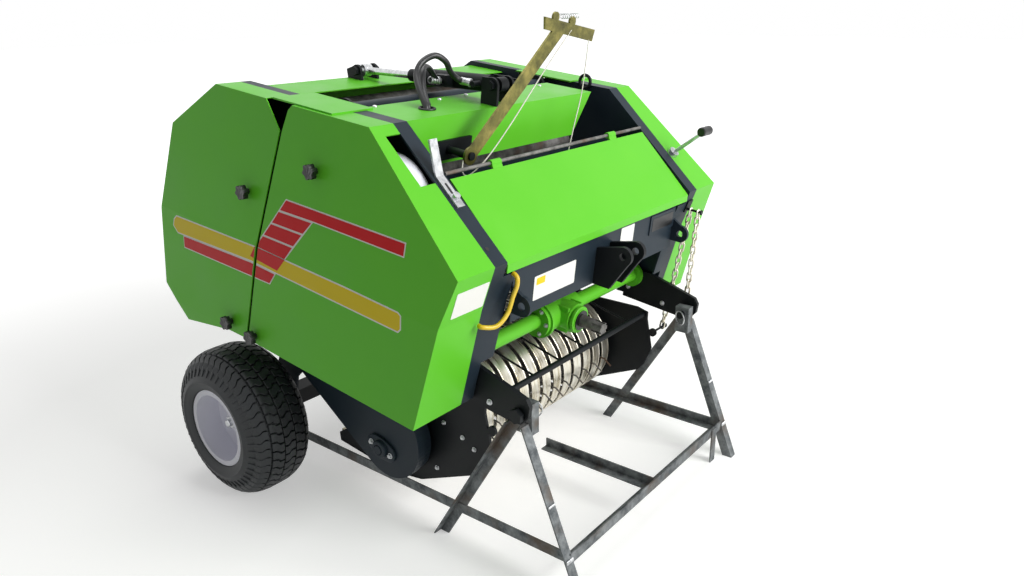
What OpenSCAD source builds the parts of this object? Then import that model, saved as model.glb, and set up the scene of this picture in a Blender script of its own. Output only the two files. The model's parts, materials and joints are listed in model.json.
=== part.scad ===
// Round baler for a small tractor, standing on its angle-iron stand.
// Millimetres, +Z up, -Y to the hitch, +X to the machine's left.
// The origin is on the ground, under the middle of the whole part.
// The machine's own frame has its zero on the axle's middle and pitches nose down.

/* [Stance] */
// Pitch of the machine, nose down, in degrees
pitch = 6.5; // [5:0.5:8]
// Distance of the axle behind the middle of the whole part
axle_back = 423; // [400:1:440]

/* [Wheels] */
// Radius of the tyres, which is also the axle's height
tyre_r = 218; // [215:1:235]
// Width of the tyres
tyre_w = 204; // [190:1:220]
// Distance between the middles of the two tyres
track = 1163; // [1155:1:1190]
// Radius of the rim's outer flanges
rim_r = 114; // [108:1:120]
// Thickness of the rim's metal
rim_t = 5; // [3:0.5:8]
// Depth of the rim's dish below its outer flange
dish_depth = 88; // [60:1:110]
// Radius of the axle's spindles
spindle_r = 14; // [12:1:18]
// Radius of the wheel hubs
hub_r = 42; // [36:1:50]
// Side of the axle's square beam
axle_beam = 50; // [40:1:60]

/* [Frame] */
// Width inside the chamber's side plates
chamber_w = 860; // [820:1:862]
// Thickness of the chamber's side plates
plate_t = 6; // [4:0.5:8]
// Distance of the frame's outer edges from the middle
frame_half = 473; // [468:1:480]
// Distance of the panel's side edges from the middle
panel_half = 385; // [370:1:392]
// Thickness of the frame's front strips
strip_t = 5; // [3:0.5:8]
// Height of the chamber's centre over the axle
chamber_z = 610; // [600:1:616]
// Distance of the chamber's centre before the axle
chamber_front = 100; // [92:1:106]
// Radius of the ring of the rollers' axes
ring_r = 265; // [255:1:270]
// Radius of the rollers
roller_r = 35; // [28:1:38]
// Radius of the rollers' shafts
roller_shaft_r = 14; // [10:1:18]

/* [Covers] */
// Height of the machine's flat top over the axle
top_z = 933; // [920:1:945]
// Distance of the covers' top front corner before the axle
shoulder_front = 478; // [465:1:490]
// Distance of the covers' nose before the axle
nose_front = 797; // [790:1:805]
// Height of the covers' nose
nose_z = 685; // [680:1:695]
// Height of the long fold in the covers
fold_z = 572; // [560:1:585]
// Height of the covers' lower edge
sill_z = 313; // [305:1:318]
// Distance of the covers' outer face from the middle at the top
cover_top_half = 545; // [543:1:560]
// The same at the long fold
cover_fold_half = 613; // [605:1:625]
// The same at the lower edge
cover_sill_half = 632; // [620:1:645]
// Thickness of the covers' sheet
cover_t = 3; // [2:0.5:4]
// Gap between the front and the rear covers
seam_gap = 9; // [7:0.5:14]
// Distance of the rearmost point of the rear covers behind the axle
tail_back = 289; // [280:1:300]

/* [Tailgate] */
// Distance of the tailgate's hinge before the axle
hinge_front = 230; // [224:1:236]
// Height of the tailgate's hinge over the axle
hinge_z = 905; // [902:1:908]
// Radius of the hinge tube
hinge_r = 21; // [18:1:23]
// Running clearance of the hinge and of the other pins
run_gap = 0.05; // [0.02:0.01:0.1]
// Distance of the tailgate's arms from the middle
gate_arm_x = 388; // [370:1:395]
// Thickness of the tailgate's plates
gate_t = 8; // [6:0.5:10]

/* [Cylinder] */
// Distance of the cylinder to the right of the middle
cyl_x = 75; // [65:1:100]
// Distance of the cylinder's front pin before the axle
cyl_pin_front = 457; // [450:1:462]
// Height of the cylinder's front pin
cyl_pin_z = 983; // [978:1:988]
// Distance of the rod's pin behind the axle
rod_pin_back = 52; // [46:1:58]
// Height of the rod's pin
rod_pin_z = 942; // [940:1:948]
// Radius of the barrel
barrel_r = 22; // [18:1:24]
// Length of the barrel with its gland
barrel_l = 320; // [300:1:330]
// Radius of the rod
rod_r = 10; // [8:0.5:14]
// Radius of the cylinder's pins
cyl_pin_r = 8; // [6:0.5:9]

/* [Pickup] */
// Distance of the reel's axis before the axle
reel_front = 470; // [462:1:476]
// Height of the reel's axis
reel_z = 98; // [92:1:104]
// Radius of the bands round the reel
band_r = 160; // [152:1:166]
// Width of one band
band_w = 38; // [30:1:38.5]
// Distance between two bands
band_pitch = 53.5; // [53:0.5:56]
// Number of bands
band_count = 14; // [10:2:14]
// Thickness of the bands
band_t = 3; // [2:0.5:4]
// Radius of the circle of the tines' tips
tine_tip_r = 206; // [200:1:212]
// Radius of the tines' wire
tine_r = 2.5; // [2:0.25:3]
// Radius of the reel's core tube
reel_core_r = 30; // [24:1:40]
// Radius of the circle of the four tine bars
tine_bar_circle = 112; // [100:1:120]
// Distance of the pickup's side plates from the middle
pickup_plate_x = 392; // [389:1:396]
// Distance of the pickup's pivot before the axle
pivot_front = 170; // [162:1:176]
// Height of the pickup's pivot
pivot_z = 240; // [234:1:246]
// Radius of the pickup's pivot shaft
pivot_r = 18; // [14:1:22]
// Radius of the chain case round the reel's axis
case_front_r = 118; // [110:1:124]
// Radius of the chain case's rear end
case_rear_r = 98; // [90:1:102]

/* [Front] */
// Height of the front panel's lower edge
panel_low = 520; // [512:1:530]
// Height of the front panel's upper edge
panel_high = 660; // [650:1:664]
// Distance of the front panel before the axle
panel_front = 782; // [778:1:786]
// Distance of the driveline tube before the axle
drive_front = 655; // [650:1:665]
// Height of the driveline tube
drive_z = 385; // [380:1:392]
// Radius of the driveline tube
drive_r = 21; // [18:1:26]
// Radius of the input shaft
pto_r = 17.5; // [15:0.5:20]
// Distance of the input shaft's end before the axle
pto_front = 812; // [805:1:835]
// Distance of the hitch arms from the middle
arm_x = 414; // [408:1:417]
// Thickness of the hitch arms
arm_t = 12; // [8:1:14]
// Radius of the hitch pins
hitch_pin_r = 11; // [9:0.5:12.5]
// Distance of the hitch pins before the axle
hitch_front = 861; // [854:1:866]
// Height of the hitch pins
hitch_z = 326; // [320:1:332]
// Radius of the top link's bore
link_bore_r = 9.75; // [9:0.25:12.5]
// Distance of the top link's bore before the axle
link_front = 860; // [852:1:868]
// Height of the top link's bore
link_z = 617; // [612:1:624]
// Gap between the two plates of the top link's fork
fork_gap = 52; // [44:1:60]

/* [Hidden] */
$fn = 48;
lime = "#63c12d";
blue_grey = "#37434d";
near_black = "#15191a";
zinc = "#b9b48f";
silver = "#c4c4cc";
steel = "#6f6a62";
eps = 1;
inner_half = chamber_w / 2;
chamber = [-chamber_front, chamber_z];
hinge = [-hinge_front, hinge_z];
pivot = [-pivot_front, pivot_z];
reel = [-reel_front, reel_z];
drive = [-drive_front, drive_z];
hitch_pin = [-hitch_front, hitch_z];
link_bore = [-link_front, link_z];
cyl_pin = [-cyl_pin_front, cyl_pin_z];
rod_pin = [rod_pin_back, rod_pin_z];
shoulder = [-shoulder_front, top_z];
nose = [-nose_front, nose_z];
chin = [-nose_front + 29, fold_z];
sill_front = [-nose_front + 72, sill_z];
seam_low = [-118, sill_z];
seam_high = [-190, top_z - 65];
seam_top = [-215, top_z];
front_outline = [shoulder, nose, chin, sill_front, seam_low, [-122, sill_z + 24], seam_high,
    [-203, top_z - 13], seam_top];
rear_low = seam_low + [seam_gap, 0];
rear_outline = [[-116, top_z], seam_high + [seam_gap, 0], [-122 + seam_gap, sill_z + 24], rear_low,
    [tail_back - 323, sill_z - 3], [tail_back - 124, sill_z - 43], [tail_back - 18, sill_z + 37],
    [tail_back, fold_z - 8], [tail_back - 20, top_z - 130], [tail_back - 197, top_z]];
spindle_end = track / 2 + 40;
lid_hinge = [-601, 838];
slope_dir = (nose - shoulder) / norm(nose - shoulder);
slope_out = [slope_dir[1], -slope_dir[0]];

// The machine's own frame, set down on its wheels and pitched about the axle
module on_wheels() translate([0, axle_back, tyre_r]) rotate([pitch, 0, 0]) children();

// An outline in the machine's side view, made solid from x0 to x1
module across(x0, x1) translate([x0, 0, 0]) rotate([90, 0, 90]) linear_extrude(x1 - x0) children();

// A round bar across the machine at the side view's point p
module bar(x0, x1, p, r) translate([x0, p[0], p[1]]) rotate([0, 90, 0]) cylinder(h = x1 - x0, r = r);

// A bar along the machine from y0 to y1
module bar_y(y0, y1, x, z, r) translate([x, y0, z]) rotate([-90, 0, 0]) cylinder(h = y1 - y0, r = r);

// A round bar in a side plane, from point a to point b
module bar_in_side(x, a, b, r) {
    translate([x, a[0], a[1]]) rotate([atan2(b[1] - a[1], b[0] - a[0]) - 90, 0, 0])
        cylinder(h = norm(b - a), r = r);
}

module both_sides() {
    children();
    mirror([1, 0, 0]) children();
}

function left_of(v) = [-v[1], v[0]];
function unit(v) = v / norm(v);
function inset_corner(a, b, c, d) =
    let (m = left_of(unit(b - a)) + left_of(unit(c - b)))
    b + m * 2 * d / (m * m);

// An anticlockwise outline, moved inwards by d
function inset(p, d) = let (n = len(p))
    [for (i = [0:n - 1]) inset_corner(p[(i + n - 1) % n], p[i], p[(i + 1) % n], d)];

// A strip of thickness t under an open line of points, on its left side
function strip(p, t) = let (n = len(p)) concat(p, [for (i = [n - 1:-1:0])
    i == 0 ? p[0] + left_of(unit(p[1] - p[0])) * t :
    i == n - 1 ? p[i] + left_of(unit(p[i] - p[i - 1])) * t :
    inset_corner(p[i - 1], p[i], p[i + 1], t)]);

function on_circle(c, r, a) = c + r * [cos(a), sin(a)];

// A hose swept along its route, with rings of n points
function ring_normal(p, i) = unit(p[min(i + 1, len(p) - 1)] - p[max(i - 1, 0)]);
function side_of(t) = unit(cross(t, abs(t[0]) > 0.9 ? [0, 1, 0] : [1, 0, 0]));
module swept(p, r, n) {
    rings = [for (i = [0:len(p) - 1]) let (t = ring_normal(p, i), s = side_of(t), u = cross(t, s))
        for (k = [0:n - 1]) p[i] + r * (cos(360 * k / n) * s + sin(360 * k / n) * u)];
    walls = [for (i = [0:len(p) - 2]) for (k = [0:n - 1])
        [i * n + k, i * n + (k + 1) % n, (i + 1) * n + (k + 1) % n, (i + 1) * n + k]];
    last = (len(p) - 1) * n;
    caps = [[for (k = [n - 1:-1:0]) k], [for (k = [0:n - 1]) last + k]];
    polyhedron(points = rings, faces = concat(walls, caps), convexity = 8);
}

// A smooth line through chosen points, with steps between each two
function spline_at(a, b, c, d, t) = 0.5 * (2 * b + (c - a) * t + (2 * a - 5 * b + 4 * c - d) * t * t
    + (3 * b - a - 3 * c + d) * t * t * t);
function smooth(p, steps) = let (n = len(p)) concat([for (i = [0:n - 2]) for (s = [0:steps - 1])
    spline_at(p[max(i - 1, 0)], p[i], p[i + 1], p[min(i + 2, n - 1)], s / steps)], [p[n - 1]]);

// Side plates of the chamber with their front strips and axle brackets
plate_outline = [shoulder + [2, -strip_t], nose + [strip_t, -1], chin + [strip_t, 0],
    sill_front + [strip_t, 0], [-600, sill_z - 8], [-555, sill_z + 42], [-300, sill_z + 42],
    pivot + [-58, -20], pivot + [-30, -48], pivot + [30, -48], [-62, 100], [-45, -45], [45, -45],
    [45, 60], [-30, 300], [-132, 400], seam_high + [-4, 0], [-207, top_z - 8]];
module side_plates() color(blue_grey) on_wheels() both_sides() {
    difference() {
        across(inner_half, inner_half + plate_t) polygon(plate_outline);
        bar(inner_half - eps, inner_half + plate_t + eps, pivot, pivot_r + run_gap);
    }
    across(inner_half, frame_half) polygon(strip([seam_top, shoulder, nose, chin, sill_front], strip_t));
    across(panel_half, inner_half) polygon(strip([chin + (nose - chin) * 0.68, chin,
        chin + (sill_front - chin) * 0.6], strip_t));
}

// Tube on which the tailgate turns
module hinge_tube() color(blue_grey) on_wheels() bar(-inner_half, inner_half, hinge, hinge_r);

// Panel under the lid, a shallow tray with two ears
ear = [-811, 570];
ear_r = 25;
module front_panel() color(blue_grey) on_wheels() {
    tray = [[-panel_front + 42, panel_high], [-panel_front, panel_high], [-panel_front, panel_low],
        [-panel_front + 42, panel_low]];
    across(-panel_half, panel_half) polygon(strip(tray, strip_t));
    both_sides() difference() {
        across(panel_half - 10, panel_half) {
            polygon([[-panel_front, 612], [ear[0], ear[1] + ear_r], ear - [0, ear_r], [-panel_front, 545]]);
            translate(ear) circle(r = ear_r);
        }
        bar(panel_half - 10 - eps, panel_half + eps, ear, 10);
    }
}

// Hood behind the slot of the twine arm, with a folded front and a slanted left end
hood_back = 315;
hood_left = 330;
hood_low = 815;
hose_hole = [-290, -407];
hose_hole_r = 19;
module hood() color(lime) on_wheels() {
    difference() {
        translate([-inner_half, -shoulder_front, top_z - cover_t])
            cube([inner_half + hood_left, shoulder_front - hood_back, cover_t]);
        translate([hose_hole[0], hose_hole[1], top_z - cover_t - eps]) cylinder(h = cover_t + 2 * eps, r = hose_hole_r);
    }
    translate([0, -shoulder_front + cover_t, 0]) rotate([90, 0, 0]) linear_extrude(cover_t)
        polygon([[-inner_half, top_z], [-inner_half, hood_low], [hood_left - 80, hood_low],
            [hood_left, top_z]]);
}

// Twine box under the lid: a floor, a back wall and a beam
box_floor_z = 675;
module twine_box() color(blue_grey) on_wheels() {
    across(-inner_half, inner_half)
        polygon(strip([[-500, 800], [-500, box_floor_z], [-panel_front + 6, box_floor_z]], strip_t));
    translate([-inner_half, -520, 740]) cube([2 * inner_half, 20, 60]);
}

// A ball of twine standing in the box
ball_r = 55;
module twine_ball() color("#e8e6df") on_wheels() {
    translate([90, -575, box_floor_z + strip_t]) rotate_extrude() polygon([[12, 0], [ball_r - 10, 0],
        [ball_r, 12], [ball_r, 78], [ball_r - 10, 90], [12, 90]]);
}

// Space under the covers' outer skin, moved inwards by d
module under_skin(d) {
    rise = (top_z - fold_z + 60) / (top_z - fold_z);
    lean = (cover_fold_half - cover_top_half) * rise;
    translate([0, 500, 0]) rotate([90, 0, 0]) linear_extrude(1500) polygon([
        [frame_half - 2, sill_z - 100], [cover_sill_half - d, sill_z - 100],
        [cover_sill_half - d, sill_z], [cover_fold_half - d, fold_z],
        [cover_fold_half - lean - d, top_z + 60], [frame_half - 2, top_z + 60]]);
}

cover_half = max(cover_top_half, cover_fold_half, cover_sill_half);
// A pan-shaped cover: an outer skin and a rim round the outline, but none along the open line
module side_cover(outline, open_line) difference() {
    intersection() {
        across(frame_half, cover_half + eps) polygon(outline);
        under_skin(0);
    }
    intersection() {
        across(frame_half - eps, cover_half + eps) {
            polygon(inset(outline, cover_t));
            polygon(strip(open_line, 30));
        }
        under_skin(cover_t);
    }
}

// Front covers; the right one has a notch in its rim through which the pulley shows
module front_cover() side_cover(front_outline, [[0, 0], [0, 1]]);
module front_covers() color(lime) on_wheels() {
    front_cover();
    mirror([1, 0, 0]) difference() {
        front_cover();
        across(frame_half - eps, frame_half + 45) polygon([shoulder + slope_dir * 30 + slope_out * 9,
            shoulder + slope_dir * 30 - slope_out * 9, shoulder + slope_dir * 172 - slope_out * 9,
            shoulder + slope_dir * 172 + slope_out * 9]);
    }
}

rear_open_line = [rear_outline[0] + [-eps, 0], rear_outline[1] + [-eps, 0],
    rear_outline[2] + [-eps, 0], rear_outline[3] + [-eps, -eps]];
module rear_covers() color(lime) on_wheels() both_sides() side_cover(rear_outline, rear_open_line);

// Flat plates over the gap between hood and tailgate
module gap_plates() color(lime) on_wheels() both_sides()
    translate([410, -345, top_z]) cube([125, 215, 4]);

// Square axle beam with its spindles
module axle() color(near_black) on_wheels() {
    translate([-inner_half, -axle_beam / 2, -axle_beam / 2])
        cube([2 * inner_half, axle_beam, axle_beam]);
    both_sides() bar(inner_half + plate_t, spindle_end, [0, 0], spindle_r);
}

// Rollers of the chamber: angles round its centre
front_angles = [126, 150, 174, 198, 256];
rear_angles = [60, 36, 12, 348, 324, 300];
module rollers(angles, shaft_half) color(steel) on_wheels() for (a = angles) {
    p = on_circle(chamber, ring_r, a);
    bar(-inner_half + 10, inner_half - 10, p, roller_r);
    both_sides() bar(inner_half - 10, shaft_half, p, roller_shaft_r);
}
module front_rollers() rollers(front_angles, inner_half);

// Shaft on which the pickup pivots, through both side plates
module feed_shaft() color(steel) on_wheels()
    bar(-inner_half - plate_t - 30, inner_half + plate_t + 30, pivot, pivot_r);

// Green tube of the driveline with a flange at each end
module driveline_tube() color(lime) on_wheels() {
    bar(-arm_x, -housing_half - 22, drive, drive_r);
    bar(housing_half - 10, arm_x, drive, drive_r);
    both_sides() bar(arm_x - 12, arm_x, drive, drive_r + 18);
}

// Gearbox on the driveline tube, with the hub of the input shaft
housing_half = 78;
hub_front = 738;
module gearbox() color(lime) on_wheels() {
    difference() {
        union() {
            bar(-housing_half, housing_half - 10, drive, 44);
            bar(-housing_half - 10, -housing_half, drive, 52);
            bar_y(-drive_front - 66, -drive_front, 0, drive_z, 42);
            bar_y(-hub_front, -drive_front - 66, 0, drive_z, 32);
        }
        bar_y(-hub_front - eps, -drive_front + 10, 0, drive_z, journal_r + run_gap);
    }
    bar(-housing_half - 22, -housing_half - 10, drive, 46);
}

// Splined input shaft
spline_count = 6;
spline_back = hub_front + 5;
spline_l = 30;
journal_r = pto_r - 2;
module input_shaft() color(steel) on_wheels() {
    bar_y(-spline_back - eps, -drive_front, 0, drive_z, journal_r);
    difference() {
        bar_y(-pto_front, -spline_back, 0, drive_z, pto_r);
        for (i = [0:spline_count - 1]) translate([0, 0, drive_z]) rotate([0, 360 * i / spline_count, 0])
            translate([-4, -pto_front - eps, pto_r - 3.5]) cube([8, spline_l + eps, 6]);
    }
}

// Fork for the top link on the front panel
module top_link_fork() color(near_black) on_wheels() both_sides() difference() {
    across(fork_gap / 2, fork_gap / 2 + 12) {
        polygon([[-panel_front, 620], [-850, 640], [-878, 600], [-832, panel_low], [-panel_front, panel_low]]);
        translate(link_bore) circle(r = 25);
    }
    bar(fork_gap / 2 - eps, fork_gap / 2 + 12 + eps, link_bore, link_bore_r);
}

// Hitch arms bolted to the side plates, each with its pin
module hitch_arms() color(near_black) on_wheels() both_sides() {
    difference() {
        union() {
            across(arm_x, arm_x + arm_t) {
                polygon([[-632, 400], [-718, 404], hitch_pin + [31, 56], hitch_pin + [-16, 46],
                    hitch_pin + [-28, 30], hitch_pin + [-27, 2], hitch_pin + [-9, -24],
                    hitch_pin + [18, -28], [-722, 300], [-632, 302]]);
            }
            across(arm_x + arm_t, inner_half) polygon([[-632, 400], [-704, 400], [-704, 326], [-632, 326]]);
        }
        bar(arm_x - eps, inner_half + eps, hitch_pin, hitch_pin_r + run_gap);
    }
    bar(leg_x - iron - 14, arm_x + arm_t + 3, hitch_pin, hitch_pin_r);
    bar(arm_x + arm_t + 3, arm_x + arm_t + 16, hitch_pin, hitch_pin_r + 8, $fn = 6);
}

// Stand of angle iron under the hitch pins, upright on the ground
iron = 28;
iron_t = 4;
leg_x = 405.5;
leg_shift = 0.7;
lap = 2.4;
stand_bar_z = 86;
stand_front = 1032;
stand_back = 50;
middle_back = 665;
leg_top = 416;
pin_ground = [-hitch_front * cos(pitch) - hitch_z * sin(pitch),
    tyre_r - hitch_front * sin(pitch) + hitch_z * cos(pitch)];
module on_ground() translate([0, axle_back, 0]) children();
module angle_iron(l) linear_extrude(l)
    polygon([[0, 0], [iron, 0], [iron, iron_t], [iron_t, iron_t], [iron_t, iron], [0, iron]]);
module leg(a, b, turn) translate([leg_x + turn * leg_shift, a[0], a[1]])
    rotate([atan2(b[1] - a[1], b[0] - a[0]) - 90, 0, 0]) mirror([0, turn, 0]) angle_iron(norm(b - a));
cross_half = leg_x + lap + iron_t / 2;
module stand() color(steel) on_ground() {
    both_sides() {
        difference() {
            union() {
                leg([-1083, -20], pin_ground + [-6, -10], 0);
                leg([-592, -20], pin_ground + [26, -10], 1);
                translate([leg_x + lap, iron_t / 2 - stand_front, stand_bar_z]) {
                    cube([iron_t, stand_front - stand_back, iron]);
                    translate([iron_t - iron, 0, 0]) cube([iron, stand_front - stand_back, iron_t]);
                }
            }
            translate([0, -1500, -100]) cube([700, 2000, 100]);
            translate([0, -1500, leg_top]) cube([700, 2000, 100]);
        }
        difference() {
            translate([leg_x - iron, pin_ground[0] - 22, leg_top - 30]) cube([iron, 44, pin_ground[1] - leg_top + 52]);
            bar(leg_x - iron - eps, leg_x + eps, pin_ground, hitch_pin_r + run_gap);
        }
    }
    translate([-cross_half, -stand_front, stand_bar_z]) cube([2 * cross_half, iron_t, iron]);
    translate([-cross_half, -stand_front, stand_bar_z]) cube([2 * cross_half, iron, iron_t]);
    translate([-iron_t, iron_t / 2 - stand_front, stand_bar_z]) {
        cube([iron_t, stand_front - middle_back, iron]);
        translate([iron_t - iron, 0, 0]) cube([iron, stand_front - middle_back, iron_t]);
    }
    translate([340, -stand_front - 3.5, 0]) cube([iron, iron_t, stand_bar_z + 25]);
}

// Two-plate bracket of the cylinder on the hood, with its pin
eye_w = 30;
cheek_gap = 27;
cheek_t = 8;
module cylinder_bracket() color(near_black) on_wheels() translate([-cyl_x, 0, 0]) {
    both_sides() across(cheek_gap, cheek_gap + cheek_t) {
        polygon([cyl_pin + [-20, 0], [cyl_pin[0] - 21, top_z], [cyl_pin[0] + 33, top_z], cyl_pin + [33, 17],
            cyl_pin + [0, 20]]);
        translate(cyl_pin) circle(r = 20);
    }
    bar(-cheek_gap - cheek_t - 10, cheek_gap + cheek_t + 10, cyl_pin, cyl_pin_r);
    both_sides() bar(cheek_gap + cheek_t, cheek_gap + cheek_t + 9, cyl_pin, cyl_pin_r + 5, $fn = 6);
}

// Cylinder frame: +Y along the rod from the front pin
cyl_l = norm(rod_pin - cyl_pin);
cyl_angle = atan2(rod_pin[1] - cyl_pin[1], rod_pin[0] - cyl_pin[0]);
module on_cylinder() on_wheels() translate([-cyl_x, cyl_pin[0], cyl_pin[1]])
    rotate([cyl_angle, 0, 0]) children();
gland_l = 34;
port_r = 8;
port_p = 52;
block_p = [145, 195];
module cylinder_barrel() color(near_black) on_cylinder() difference() {
    union() {
        bar(-eye_w / 2, eye_w / 2, [0, 0], 19);
        translate([-eye_w / 2, 0, -14]) cube([eye_w, 34, 28]);
        bar_y(30, barrel_l - gland_l, 0, 0, barrel_r);
        bar_y(barrel_l - gland_l, barrel_l, 0, 0, barrel_r - 5);
        translate([-barrel_r - 28, port_p, 0]) rotate([0, 90, 0]) cylinder(h = 34, r = port_r);
        translate([-barrel_r - 24, block_p[0], -15]) cube([34, block_p[1] - block_p[0], 30]);
    }
    bar(-eye_w / 2 - eps, eye_w / 2 + eps, [0, 0], cyl_pin_r + run_gap);
    bar_y(58, barrel_l + eps, 0, 0, rod_r + run_gap);
}
module cylinder_rod() color(silver) on_cylinder() {
    bar_y(195, cyl_l - 12, 0, 0, rod_r);
    bar(-eye_w / 2, eye_w / 2, [cyl_l, 0], 18);
    bar(-cheek_gap + 1.5, cheek_gap - 1.5, [cyl_l, 0], cyl_pin_r);
}

// Hoses of the cylinder, out of the hood to the two ports
hose_r = 8;
module hose_front() color(near_black) on_wheels() swept(smooth([[-299, -412, 924], [-298, -410, 941], [-284, -374, 972],
    [-262, -340, 1003], [-235, -331, 1030], [-200, -341, 1046], [-170, -351, 1031], [-145, -347, 1003],
    [-122, -352, 984], [-113, -375, 979.5], [-113, -396.6, 979.5]], 4),
    hose_r, 8);
module hose_rear() color(near_black) on_wheels() swept(smooth([[-283, -403, 924], [-282, -401, 939], [-265, -373, 958],
    [-243, -344, 981], [-222, -322, 1005], [-198, -308, 1013], [-170, -298, 1003], [-146, -291, 982],
    [-132, -289, 970], [-121.3, -289, 968.5]], 4),
    hose_r, 8);

// Yellow hose at the right front corner
module hose_yellow() color("gold") on_wheels() swept(smooth([[-396, -787.9, 648], [-396, -794, 646.4],
    [-396, -801, 640], [-399, -804, 624], [-406, -801, 599], [-421, -800, 560], [-452, -796, 538],
    [-484, -783, 541], [-484, -771.5, 541]], 5),
    5.5, 8);

// Crank for the net, standing on the left slope, with a grip
crank_x = 490;
crank_foot = [-690, nose_z + 84];
crank_arm = [-94, 87];
module crank() color(silver) on_wheels() {
    bar_in_side(crank_x, crank_foot + crank_arm * 0.06, crank_foot + crank_arm * 0.94, 6);
    bar_in_side(crank_x, crank_foot, crank_foot + slope_out * 12, 16);
    color(near_black) bar(crank_x - 24, crank_x + 24, crank_foot + crank_arm, 12);
}

// Bent flat lever on the right slope
module lever() color(silver) on_wheels() {
    across(-464, -440) polygon(strip([shoulder + slope_dir * 246, shoulder + slope_dir * 158, [-577, 915]], 5));
    bar_in_side(-452, shoulder + slope_dir * 220 + slope_out * 5, shoulder + slope_dir * 220 + slope_out * 14, 9);
}

// Belt pulley behind the notch of the right cover
module drive_pulley() color("white") on_wheels() {
    difference() {
        bar(-510, -470, [-490, 745], 125);
        bar(-511, -480, [-490, 745], 112);
    }
    bar(-510, -inner_half - plate_t, [-490, 745], 24);
}

// Black knobs that hold the covers shut
function skin_x(z) = z > fold_z ? cover_fold_half
    - (z - fold_z) * (cover_fold_half - cover_top_half) / (top_z - fold_z)
    : cover_fold_half + (fold_z - z) * (cover_sill_half - cover_fold_half) / (fold_z - sill_z);
module knob(p) {
    foot = skin_x(p[1] - 8) + 0.1;
    bar(foot, foot + 9, p, 8);
    bar(foot + 9, foot + 25, p, 20);
}
module knobs() color(near_black) on_wheels() both_sides() {
    knob([-329, 806]);
    knob([-150, 335]);
}
module gate_knobs() color(near_black) on_wheels() both_sides() {
    knob([-89, 702]);
    knob([-46, 340]);
}

// Lifting eye on the left edge of the frame
module lifting_eye() color(near_black) on_wheels() translate([424.8, -392, 942])
    rotate([0, 90, 0]) rotate_extrude() translate([19, 0]) circle(r = 5, $fn = 16);

// Lift chain: a lifting strand and a free tail of oval links
link_r = 3;
link_half = 15;
link_w = 7;
chain_x = 457;
chain_top = [-797, 628];
chain_foot = [-766, 223];
function link_line() = concat([for (a = [-60:40:60]) [link_half - link_w + link_w * cos(a), link_w * sin(a)]],
    [for (a = [120:40:240]) [-link_half + link_w + link_w * cos(a), link_w * sin(a)]]);
module chain_link() {
    p = link_line();
    n = len(p);
    k = 5;
    rings = [for (i = [0:n - 1]) let (out = unit(p[i] - p[(i + n / 2) % n]
            + 0.0001 * [1, 1])) for (j = [0:k - 1])
        [p[i][0] + link_r * cos(360 * j / k) * out[0], p[i][1] + link_r * cos(360 * j / k) * out[1],
            link_r * sin(360 * j / k)]];
    polyhedron(points = rings, faces = [for (i = [0:n - 1]) for (j = [0:k - 1])
        [i * k + j, i * k + (j + 1) % k, ((i + 1) % n) * k + (j + 1) % k, ((i + 1) % n) * k + j]]);
}
module chain_strand(a, b) {
    count = 2 * round(norm(b - a) / (2 * (link_half - link_r) - 0.6) / 2);
    for (i = [0:count - 1]) {
        p = a + (b - a) * (i + 0.5) / count;
        translate([chain_x, p[0], p[1]]) rotate([atan2(b[1] - a[1], b[0] - a[0]), 0, 0])
            rotate([0, 0, 90]) rotate([90 * (i % 2), 0, 0]) chain_link();
    }
}
module lift_chain() color(zinc) on_wheels() {
    chain_strand(chain_top, chain_foot + unit(chain_foot - chain_top) * (link_r + 0.5));
    chain_strand(chain_top - [24, 0], [-831, 360]);
}

// Hook of the lift chain on the left front strip
module chain_hook() color(near_black) on_wheels() {
    across(chain_x - 15, chain_x + 15)
        polygon(strip([chin + (nose - chin) * 0.4, chin + (nose - chin) * 0.72], 4));
    bar_y(-833, -784, chain_x, chain_top[1] - link_r - 0.5, link_r + 0.5);
    bar_y(-833, -829, chain_x, chain_top[1] - link_r - 0.5, 2.5 * link_r);
}

// Wheels: deep-dished rims and plain tyres, made round Z and laid along X
seat_r = 104;
rim_half = 89;
module wheel_place(side) on_wheels() translate([side * track / 2, 0, 0]) rotate([0, side * 90, 0]) children();
module rim_shape() rotate_extrude($fn = 64) {
    polygon([[seat_r - rim_t, -rim_half], [rim_r, -rim_half], [rim_r, -rim_half + rim_t], [seat_r, -rim_half + 8],
        [seat_r, rim_half - 8], [rim_r, rim_half - rim_t], [rim_r, rim_half], [seat_r - rim_t, rim_half],
        [seat_r - rim_t, rim_half - dish_depth + 12 + rim_t],
        [70, rim_half - dish_depth + rim_t], [hub_r, rim_half - dish_depth + rim_t],
        [hub_r, rim_half - dish_depth + 26], [spindle_r + run_gap, rim_half - dish_depth + 26],
        [spindle_r + run_gap, -60], [hub_r - 8, -60], [hub_r - 8, rim_half - dish_depth],
        [70, rim_half - dish_depth], [seat_r - rim_t, rim_half - dish_depth + 12]]);
}
module tyre_shape() rotate_extrude($fn = 64) {
    w = tyre_w / 2;
    bead = rim_half - rim_t - 0.3;
    side = [[seat_r + 0.1, bead - 4], [rim_r + 0.5, bead], [rim_r + 2, rim_half + 3], [tyre_r - 76, w],
        [tyre_r - 64, w - 1], [tyre_r - 44, w - 10], [tyre_r - 27, w - 21], [tyre_r - 15, w - 32],
        [tyre_r - 7, w - 44], [tyre_r, w - 72]];
    polygon(concat([for (q = side) [q[0], -q[1]]], [for (i = [len(side) - 1:-1:0]) side[i]]));
}
module rim_right() color(silver) wheel_place(-1) rim_shape();
module rim_left() color(silver) wheel_place(1) rim_shape();
module tyre_right() color("#23262a") wheel_place(-1) tyre_shape();
module tyre_left() color("#23262a") wheel_place(1) tyre_shape();

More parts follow.
